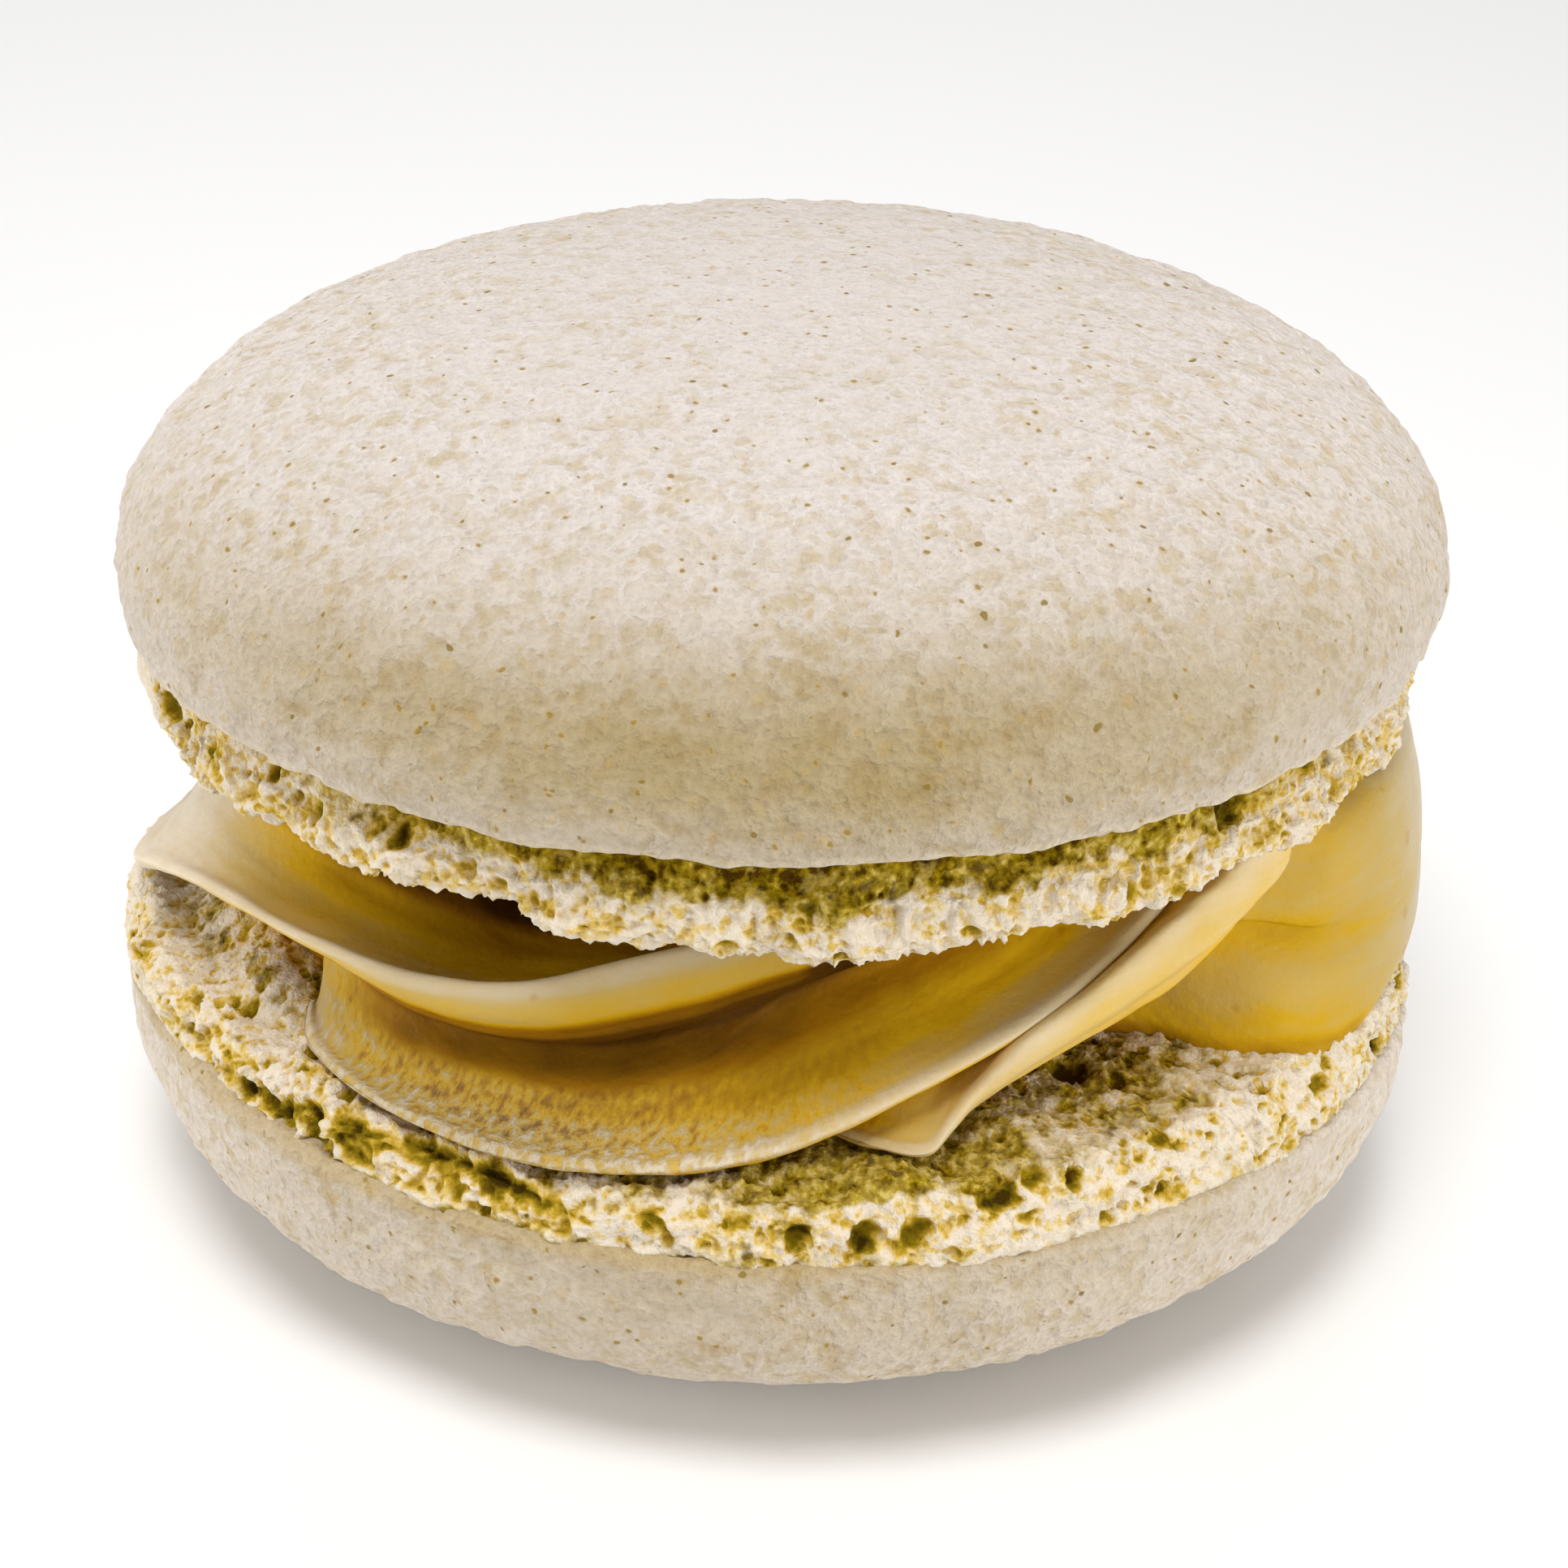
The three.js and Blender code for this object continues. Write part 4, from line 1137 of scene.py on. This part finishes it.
def crumbMaterial(name):
    # crumb full of fine pores, with painted shade: pale, then mustard, olive and brown as a hollow, pore or
    # valley gets deeper; olive painted shade, with pale and dark bits, where the shade attribute lays it
    material, tree, shader = newMaterial(name, crumbFinish["surface"])
    place = placeNode(tree)
    inner = attributeNode(tree, "inner")
    bent = bentBy(place, 0.4, 0.14)
    coarse, fine = (speckNode(bent, *pore) for pore in crumbFinish["pores"])
    pores = times(calculate("MAXIMUM", coarse, fine), plus(inner, 0.8))
    # the valleys between the ridges and the pores are painted deeper in shade
    valley = calculate("SUBTRACT", 0.55, attributeNode(tree, "ridge"), clamp=True)
    parts = [(valley, 0.2), (pores, 0.15), (inner, 0.05)]
    for size, amount in crumbFinish["blotches"]:
        parts.append((minus(noiseNode(place, size, 3.0), 0.5), amount))
    depth = attributeNode(tree, "hollow")
    for part, amount in parts:
        depth = plus(depth, times(part, amount))
    hollowShades = rampNode(depth, crumbFinish["hollowShades"])
    flecks = minus(times(noiseNode(place, 0.3, 3.0), 1.3), 0.46)
    olive = rampNode(plus(depth, flecks), crumbFinish["olive"])
    patches = noiseNode(place, 0.8, 3.0)
    # pale and dark bits break up the painted olive shade
    palePatches = levelNode(patches, [(0.58, 0), (0.66, 0.55)])
    olive = mixColour(palePatches, olive, crumbFinish["paleBits"])
    darkPatches = levelNode(patches, [(0.3, 0.85), (0.36, 0)])
    olive = mixColour(darkPatches, olive, crumbFinish["darkBits"])
    shade = plus(attributeNode(tree, "shade"), times(minus(patches, 0.5), -1.5))
    colour = mixColour(levelNode(shade, [(0.12, 0), (0.55, 0.95)]), hollowShades, olive)
    relief = minus(times(noiseNode(place, 0.14, 4.0), 2.0), pores)
    finishMaterial(shader, colour, relief, crumbFinish["relief"])
    return material


def flowNode(tree, length, width):
    # a noise drawn out along a ribbon, its blotches `length` millimetres long and `width` wide
    sizes = (("along", length), ("across", width))
    steps = [calculate("DIVIDE", attributeNode(tree, name), size) for name, size in sizes]
    place = fed(addNode(tree, "ShaderNodeCombineXYZ"), *steps)
    node = addNode(tree, "ShaderNodeTexNoise", Vector=place, Scale=1.0, Detail=3.0)
    return minus(node.outputs["Fac"], 0.5)


creamFinish = {
    "surface": (0.5, 0.08, 0.12, (1.0, 0.6, 0.2), millimetre),
    # painted shade: from pale at the lip to brown deep in the gaps
    "shadeTones": [
        (0.0, (0.66, 0.57, 0.445)),
        (0.12, (0.57, 0.465, 0.30)),
        (0.3, (0.55, 0.39, 0.12)),
        (0.5, (0.62, 0.365, 0.005)),
        (0.75, (0.34, 0.15, 0.002)),
        (1.0, (0.10, 0.038, 0.001)),
    ],
    # the painted shade of brushed, wrinkled cream
    "brushed": (0.42, 0.33, 0.16),
    "specks": [(2.2, 0.16, 0.4, 0.55), (1.5, 0.3, 0.35, 0.3)],  # spacing, radius, share and strength
    "speckColour": (0.7, 0.42, 0.08),
    "relief": 0.45,
}


def creamMaterial(name):
    # buttercream: pale at the thin lips, with painted shade that turns it mustard then brown further in,
    # fine streaks along it, pale wrinkles and painted shade where it is brushed, painted light and shade by
    # angle, and few specks
    material, tree, shader = newMaterial(name, creamFinish["surface"])
    place = placeNode(tree)
    brushed = attributeNode(tree, "brushed")
    wrinkles = times(flowNode(tree, 0.28, 0.55), brushed)
    cloud = minus(noiseNode(place, 1.8, 2.0), 0.5)
    shadeTone = attributeNode(tree, "shadeTone")
    for part, amount in ((flowNode(tree, 5.0, 0.35), 0.12), (cloud, 0.2), (wrinkles, 3.2)):
        shadeTone = plus(shadeTone, times(part, amount))
    colour = rampNode(shadeTone, creamFinish["shadeTones"])
    # painted shade where it is brushed
    colour = mixColour(times(brushed, 0.45), colour, creamFinish["brushed"])
    # painted light and shade by angle, lifting or darkening whole ribbons
    colour = mixColour(1.0, colour, attributeNode(tree, "paintedLight"), "MULTIPLY")
    bent = bentBy(place, 0.5, 0.15)
    for spacing, radius, share, strong in creamFinish["specks"]:
        specks = times(speckNode(bent, spacing, radius, share), strong)
        colour = mixColour(specks, colour, creamFinish["speckColour"], "MULTIPLY")
    grain = times(noiseNode(place, 0.25, 3.0), 0.1)
    finishMaterial(shader, colour, minus(grain, wrinkles), creamFinish["relief"])
    return material


crumb = crumbMaterial("shell_crumb")
cream = creamMaterial("buttercream")
print("materials made")

crustPiece("upperCrust", upperShell, crustLook, crustMaterial("upper_crust", upperCrustColours))
footPiece("upperFoot", upperShell, upperFootLook, crumb)
crustPiece("lowerCrust", lowerShell, crustLook, crustMaterial("lower_crust", lowerCrustColours))
footPiece("lowerFoot", lowerShell, lowerFootLook, crumb)

creamPiece("creamFrontLeft", frontLeftRibbon, ribbonSections, cream)
creamPiece("creamFront", frontRibbon, ribbonSections, cream)
creamPiece("creamUnder", underRibbon, ribbonSections, cream)
for number, start in enumerate(backRibbonStarts):
    rows = [(angle + start, *rest) for angle, *rest in backRibbonRows]
    ribbon = {"rows": rows, "shadeTones": [(start, 0.6), (start + 100, 0.9)], "seed": 31 + number}
    creamPiece(f"creamBack{number + 1}", ribbon, ribbonSections, cream)
creamPiece("creamRight", rightFold, foldSections, cream)
corePiece("creamCore", coreLook, cream)
print("macaron made")

studio = {
    "floor": (0.93, 0.93, 0.93),
    "roughness": 0.6,
    "floorSize": 3.0,  # metres
    "world": 0.45,  # strength of the even light
    "lights": [  # name, place and size in metres, watts, colour
        ("key_light", (-0.03, -0.11, 0.34), 0.16, 0.72, (1.0, 0.99, 0.97)),
        ("back_light", (0.0, 0.40, 0.36), 0.40, 0.55, (1.0, 0.99, 0.98)),
        ("left_light", (-0.34, -0.06, 0.03), 0.22, 0.70, (1.0, 0.99, 0.98)),
        ("right_light", (0.28, -0.19, 0.04), 0.22, 0.72, (1.0, 0.99, 0.98)),
    ],
    "aim": (0.0, 0.0, 0.014),
}
view = {
    "place": (0.0, -0.095856, 0.062489),  # metres
    "target": (0.000302, 0.0, 0.012734),
    "roll": 0.034,  # radians
    "lens": 68.65,
    "sensor": 36,
    "nearest": 0.001,  # metres
}


def pointedAt(place, target):
    # a place to stand, looking at the target
    aim = (Vector(target) - Vector(place)).to_track_quat("-Z", "Y")
    return Matrix.Translation(place) @ aim.to_matrix().to_4x4()


def makeStudio():
    # a white floor, the lights and an even light from all round
    half = studio["floorSize"] / 2
    mesh = bpy.data.meshes.new("floor")
    corners = [(-half, -half, 0), (half, -half, 0), (half, half, 0), (-half, half, 0)]
    mesh.from_pydata(corners, [], [(0, 1, 2, 3)])
    material, _, shader = newMaterial("floor", [studio["roughness"]])
    feed(shader.inputs["Base Color"], studio["floor"])
    mesh.materials.append(material)
    floor = addObject("floor", mesh)
    for name, place, size, power, colour in studio["lights"]:
        light = bpy.data.lights.new(name, "AREA")
        light.shape = "DISK"
        light.size = size
        light.energy = power
        light.color = colour
        addObject(name, light).matrix_world = pointedAt(place, studio["aim"])
    world = bpy.data.worlds.new("studio")
    world.use_nodes = True
    background = world.node_tree.nodes["Background"]
    feed(background.inputs["Color"], (1, 1, 1))
    feed(background.inputs["Strength"], studio["world"])
    bpy.context.scene.world = world


def makeCamera():
    camera = addObject("camera", bpy.data.cameras.new("camera"))
    camera.data.lens = view["lens"]
    camera.data.sensor_width = view["sensor"]
    camera.data.clip_start = view["nearest"]
    camera.matrix_world = pointedAt(view["place"], view["target"]) @ Matrix.Rotation(view["roll"], 4, "Z")
    bpy.context.scene.camera = camera


makeStudio()
makeCamera()
bpy.context.scene.view_settings.view_transform = "Standard"
print("studio and camera made")
